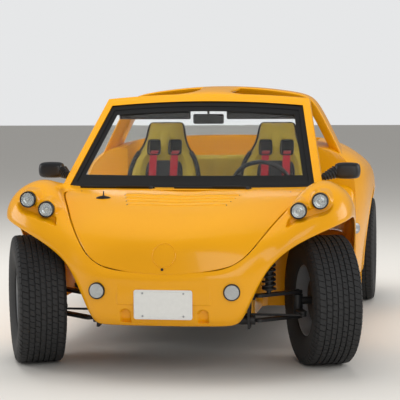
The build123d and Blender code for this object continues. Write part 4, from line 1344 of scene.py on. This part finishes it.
def buildCaps(hood):
    cap = lathe([(-20, 0), (-20, 36), (8, 36), (11, 32), (13, 35), (26, 34), (30, 29), (31, 14), (29, 9), (29, 0)],
                40, place(filler["x"], filler["s"], filler["z"]), filler["turn"])
    settle(cap, "filler_cap", "chassis", "wheel_silver")
    spot = landOn(hood, place(aerial["x"], aerial["s"], hoodTrim["above"]), down)[0]
    foot = lathe([(-6, 0), (-6, 1), (0, 1), (0.35, 0.9), (0.7, 0.62), (1, 0.2), (1, 0)], 40, (0, 0, 0), (0, 0, 1))
    for vertex in foot.data.vertices:
        x, y, z = vertex.co / mm
        vertex.co = spot + Vector((x * aerial["long"], y * aerial["wide"], z * aerial["tall"] if z > 0 else z)) * mm
    mast = lathe([(0, 0), (0, 8), (10, 7), (16, 4), (36, 3), (38, 0)], 16, spot, (0, 0.2, 1))
    settle(joinPieces([foot, mast]), "aerial_foot", "hood", "black_plastic")


buildMirrors()
buildHeader()
buildWipers()
buildDampers()
buildControls()
buildCaps(hoodShell)
print("fittings done")


# Seats: filled cloth pads with bolsters, piped in black, and a black middle panel
seat = {
    "x": 360, "voxel": 6, "pressure": 4, "swell": 9, "keep": 0.14, "gain": 16,
    # rows of the back: height, half width, how far the middle is sunk
    "back": [(455, 214, 34), (500, 226, 36), (600, 232, 36), (720, 232, 36), (840, 230, 36), (920, 218, 34),
             (985, 198, 24), (1030, 168, 8), (1070, 142, 0), (1120, 124, 0), (1180, 116, 0), (1216, 102, 0)],
    "backFoot": (1520, 520), "lean": 0.3676, "backDepth": 84,
    # rows of the cushion: station, height, half width
    "cushion": [(965, 372, 222), (985, 405, 228), (1040, 420, 232), (1180, 410, 232), (1330, 398, 232),
                (1430, 392, 230), (1490, 396, 224)],
    "cushionDepth": 96, "cushionSink": 30, "base": (0, 1285, 295, 410, 550, 46, 14),
    # what lies on the shell isn't puffed: behind this depth of the back, below this height in metres
    "heldBehind": 62, "heldBelow": 0.318,
    # harness holes: x, height, half width, half height, then the corners' cut and the cutters' station and length
    "holes": (68, 1062, 40, 46), "corner": 9, "cut": (1600, 1800),
    "shares": (-1, -0.86, -0.68, -0.56, -0.3, 0, 0.3, 0.56, 0.68, 0.86, 1),
}


def backFront(z):
    return seat["backFoot"][0] + (z - seat["backFoot"][1]) * seat["lean"]


def bolster(share):
    return ramp(abs(share), 0.55, 0.74)


def padFrom(columns, depth, direction):
    # closed block under a sheet of columns, carried back along direction
    top = gridOf(columns)
    under = gridOf([[point + direction * depth * mm for point in column] for column in columns])
    piece = joinPieces([top, under])
    closeEdges(bpy.ops.mesh.bridge_edge_loops)
    return piece


def puff(piece, pad, pressed):
    # fills a pad: cloth under light pressure with its pressed side held, and its travel capped
    bpy.context.view_layer.objects.active = piece
    piece.data.remesh_voxel_size = pad["voxel"] * mm
    bpy.ops.object.voxel_remesh()
    addModifier(piece, "SMOOTH", factor=0.5, iterations=6)
    applyModifiers(piece)
    held = piece.vertex_groups.new(name="held")
    for vertex in piece.data.vertices:
        if pressed(vertex.co):
            held.add([vertex.index], 1.0, "REPLACE")
    rest = [vertex.co.copy() for vertex in piece.data.vertices]
    cloth = addModifier(piece, "CLOTH")
    cloth.settings.quality = 4
    cloth.settings.use_pressure = True
    cloth.settings.uniform_pressure_force = pad["pressure"]
    cloth.settings.effector_weights.gravity = 0
    cloth.settings.vertex_group_mass = "held"
    cloth.collision_settings.use_collision = False
    for step in range(1, 21):
        bpy.context.scene.frame_set(step)
    applyModifiers(piece)
    for vertex, start in zip(piece.data.vertices, rest):
        travel = vertex.co - start
        if travel.length > pad["swell"] * mm:
            vertex.co = start + travel.normalized() * pad["swell"] * mm
    bpy.context.scene.frame_set(1)
    piece.vertex_groups.clear()
    smooth(piece, 1)
    addModifier(piece, "DECIMATE", ratio=pad["keep"])
    applyModifiers(piece)


def buildSeatPads():
    back = padFrom([[place(half * share, backFront(z) + 8 + sink * (1 - bolster(share)) + 26 * abs(share) ** 5, z)
                     for z, half, sink in seat["back"]] for share in seat["shares"]],
                   seat["backDepth"] - seat["gain"], Vector((0, 1, -0.2)))
    puff(back, seat, lambda point: station(point) > backFront(point.z / mm) + seat["heldBehind"])
    cushion = padFrom([[place(half * share, s, z - 8 - seat["cushionSink"] * (1 - bolster(share)))
                        for s, z, half in seat["cushion"]] for share in seat["shares"]],
                      seat["cushionDepth"] - seat["gain"], down)
    puff(cushion, seat, lambda point: point.z < seat["heldBelow"])
    (x, z, half, tall), (s, deep) = seat["holes"], seat["cut"]
    cutWith(back, joinPieces([boxAt(side * x, s, z, 2 * half, deep, 2 * tall, 12, 4) for side in (-1, 1)]),
            "DIFFERENCE")
    return back, cushion


def buildSeatPanel():
    # black middle panels, their edges tucked in behind the bolsters
    shares = (-1, -0.6, -0.2, 0.2, 0.6, 1)
    panel = joinPieces([
        gridOf([[place(half * share * 0.6, backFront(z) + sink - 3 - 10 * cos(share * 1.5), z)
                 for z, half, sink in seat["back"][:7]] for share in shares]),
        gridOf([[place(half * share * 0.6, s, z - seat["cushionSink"] + 3 + 10 * cos(share * 1.5))
                 for s, z, half in seat["cushion"][1:]] for share in shares])])
    thicken(panel, 30)
    inEdit(panel, faceOut)
    smooth(panel, 2)
    return panel


def buildSeatTrim():
    # piping round the back's outline
    rows = seat["back"]
    edge = [place(half + 2, backFront(z) + 42, z) for z, half, sink in rows]
    top = [place(60, backFront(1216) + 40, 1212), place(0, backFront(1218) + 40, 1214),
           place(-60, backFront(1216) + 40, 1212)]
    trims = [tube(edge + top + [Vector((-p.x, p.y, p.z)) for p in reversed(edge)], 6)]
    # thick black edge rolls beside the back's lower half
    for side in (-1, 1):
        trims.append(tube([place(side * (half + 1), backFront(z) + 34, z) for z, half, sink in rows[:8]], 15))
    # grommets in the harness holes
    (x, z, half, tall), cut = seat["holes"], seat["corner"]
    ring = [(-half, -tall + cut), (-half, tall - cut), (-half + cut, tall), (half - cut, tall), (half, tall - cut),
            (half, -tall + cut), (half - cut, -tall), (-half + cut, -tall)]
    for side in (-1, 1):
        trims.append(tube([place(side * x + across, backFront(z + up) + 2, z + up) for across, up in ring], 5,
                          closed=True, order=3, caps=False))
    return joinPieces(trims)


def buildSeatShell():
    # tapered moulded shell behind the pads and a base under them
    rows = [(half + 2, backFront(z) + seat["backDepth"] - 14, z) for z, half, sink in seat["back"]]
    shell = gridOf([[place(half * share, s + 16 * (1 - share * share), z) for half, s, z in rows]
                    for share in (-1, -0.9, -0.5, 0, 0.5, 0.9, 1)])
    thicken(shell, 12, 0)
    smooth(shell, 1)
    return joinPieces([shell, boxAt(*seat["base"])])


belt = {"x": 68, "width": 48, "thick": 2.2,
        "run": [(1800, 1032), (1756, 1036), (1714, 1018), (1686, 980), (1640, 850), (1590, 700), (1556, 560),
                (1520, 440), (1462, 398), (1400, 392), (1350, 404)],
        "buckle": (1600, 730), "adjuster": (0.032, 0.006, 0.018)}


def buildBelt(x):
    line = [place(0, s - 6, z + 4) for s, z in belt["run"]]
    half = belt["width"] / 2
    piece = gridOf([[point + Vector(((x + share * half) * mm, 0, 0)) for point in line] for share in (-1, 0, 1)])
    smooth(piece, 2)
    thicken(piece, belt["thick"], 0)
    inEdit(piece, faceOut)
    return piece


def buildSeats():
    forms = [*buildSeatPads(), buildSeatPanel(), buildSeatTrim(), buildSeatShell()]
    names = (("seat_back_pad", "seat_fabric", None), ("seat_cushion_pad", "seat_fabric", None),
             ("seat_middle_panel", "seat_fabric", blackCloth), ("seat_piping", "rubber_trim", None),
             ("seat_shell", "black_plastic", None))
    for side, word in ((-1, "right"), (1, "left")):
        for form, (name, slotName, material) in zip(forms, names):
            piece = copyOf(form.data, name)
            piece.data.transform(Matrix.Translation((side * seat["x"] * mm, 0, 0)))
            stands = ["seat_" + word] if name == "seat_back_pad" else []
            settle(piece, name + "_" + word, "chassis", slotName, stands, material)
    for form in forms:
        bpy.data.objects.remove(form)
    belts, buckles = [], []
    s, z = belt["buckle"]
    size, turn = Vector(belt["adjuster"]), Matrix.Rotation(-atan2(seat["lean"], 1), 4, "X")
    for side in (-1, 1):
        for across in (-belt["x"], belt["x"]):
            x = side * seat["x"] + across
            belts.append(buildBelt(x))
            buckle = block(-size, size, 4)
            buckle.data.transform(Matrix.Translation(place(x, s - 8, z)) @ turn)
            buckles.append(buckle)
    settle(joinPieces(belts), "harness_webbing", "chassis", "seat_fabric", material=redWebbing)
    settle(joinPieces(buckles), "harness_adjusters", "chassis", "wheel_silver")


bench = {"voxel": 7, "pressure": 4, "swell": 8, "keep": 0.14, "gain": 16,
         "half": 580, "well": 290, "wellHalf": 185, "sink": 26,
         "cushion": [(2114, 530), (2128, 548), (2180, 552), (2280, 548), (2345, 544)], "cushionDepth": 62,
         "back": [(2384, 566), (2392, 620), (2412, 740), (2432, 860), (2446, 940), (2458, 966)], "backDepth": 34,
         "heldBehind": 2470, "heldBelow": 0.49}


def benchSink(x):
    return bench["sink"] * (1 - ramp(abs(abs(x) - bench["well"]), bench["wellHalf"] - 30, bench["wellHalf"] + 20))


def buildBench():
    crossings = [bench["half"] * k / 12 for k in range(-12, 13)]
    cushion = padFrom([[place(x, s, z - benchSink(x)) for s, z in bench["cushion"]] for x in crossings],
                      bench["cushionDepth"] - bench["gain"], down)
    puff(cushion, bench, lambda point: point.z < bench["heldBelow"])
    settle(cushion, "bench_cushion", "chassis", "seat_fabric", ["rear_bench"])
    back = padFrom([[place(x, s + benchSink(x) * 0.6, z) for s, z in bench["back"]] for x in crossings],
                   bench["backDepth"], Vector((0, 1, 0)))
    puff(back, bench, lambda point: station(point) > bench["heldBehind"])
    settle(back, "bench_back", "chassis", "seat_fabric")


buildSeats()
buildBench()
print("seats done")


# Coil springs: x, station, low and high ends
spring = {"turns": 7, "bar": 6.5, "radius": 33, "front": (500, -137, 424, 600), "rear": (572, 2535, 380, 560)}


def buildSprings():
    coils = []
    for x, s, low, high in (spring["front"], spring["rear"]):
        for side in (-1, 1):
            points = []
            count = spring["turns"] * 10
            for k in range(count + 1):
                turn = 2 * pi * k / 10
                points.append(place(side * x + spring["radius"] * cos(turn), s + spring["radius"] * sin(turn),
                                    low + (high - low) * k / count))
            coils.append(tube(points, spring["bar"], sides=2))
    settle(joinPieces(coils), "coil_springs", "chassis", "chassis_black")


dials = {"s": 652, "z": 786, "places": [(250, 34), (340, 50), (430, 34)]}


def buildDials():
    rims, faces = [], []
    for x, radius in dials["places"]:
        spot = place(x, dials["s"] - 8, dials["z"])
        rims.append(lathe([(-6, radius), (-6, radius + 4), (10, radius + 4), (13, radius + 2), (12, radius),
                           (-6, radius)], 36, spot, (0, 1, 0.1)))
        faces.append(lathe([(-4, 0), (-4, radius), (2, radius), (2, 5), (6, 4), (6, 0)], 36, spot, (0, 1, 0.1)))
    settle(joinPieces(rims), "dial_rims", "chassis", "wheel_silver")
    settle(joinPieces(faces), "dial_faces", "chassis", "black_plastic")


tailLamp = {"x": 560, "s": 3055, "levels": (600, 690), "radius": 38}


def buildTailLamps():
    lenses, rims = [], []
    radius = tailLamp["radius"]
    for side in (-1, 1):
        for z in tailLamp["levels"]:
            spot = place(side * tailLamp["x"], tailLamp["s"], z)
            lenses.append(lathe([(-14, 0), (-14, radius - 1), (2, radius - 1), (7, radius * 0.8), (8, radius * 0.6),
                                 (10, radius * 0.55), (11, 8), (11, 0)], 36, spot, (0, 1, 0)))
            rims.append(lathe([(-15, radius - 1), (-15, radius + 4), (3, radius + 4), (5, radius + 1),
                               (4, radius - 1), (-15, radius - 1)], 36, spot, (0, 1, 0)))
    settle(joinPieces(lenses), "tail_lenses", "chassis", "red_lens", ["tail_lamps"])
    settle(joinPieces(rims), "tail_lamp_rims", "chassis", "black_plastic")


buildSprings()
buildDials()
buildTailLamps()

# node, name of its piece, slot, edge rounding in mm
rounded = [
    ("screen_frame", "screen_surround", "body_gelcoat", 7), ("front_wheelhouses", "front_liners", "body_gelcoat", 2),
    ("rear_wheelhouses", "rear_liners", "body_gelcoat", 2), ("seat_tub", "seat_tub_moulding", "body_gelcoat", 3),
    ("dashboard", "dash_moulding", "black_plastic", 14), ("windscreen_seal", "glass_seal", "rubber_trim", 4),
    ("front_beam", "axle_beam", "chassis_black", 3), ("front_arms", "trailing_arms", "chassis_black", 3),
    ("rear_bumper", "rear_bar", "chassis_black", 4), ("engine", "engine_block", "cast_alloy", 12),
    ("gearbox", "gearbox_casing", "cast_alloy", 6), ("floor_pan", "floor_pressing", "chassis_black", 2),
    ("steering_box", "steering_case", "chassis_black", 8), ("spring_plates", "spring_leaves", "chassis_black", 2),
    ("exhaust", "silencer", "exhaust_steel", 3),
]
for node, name, slotName, width in rounded:
    refine(node, name, slotName, width)
print("rounded mouldings done")
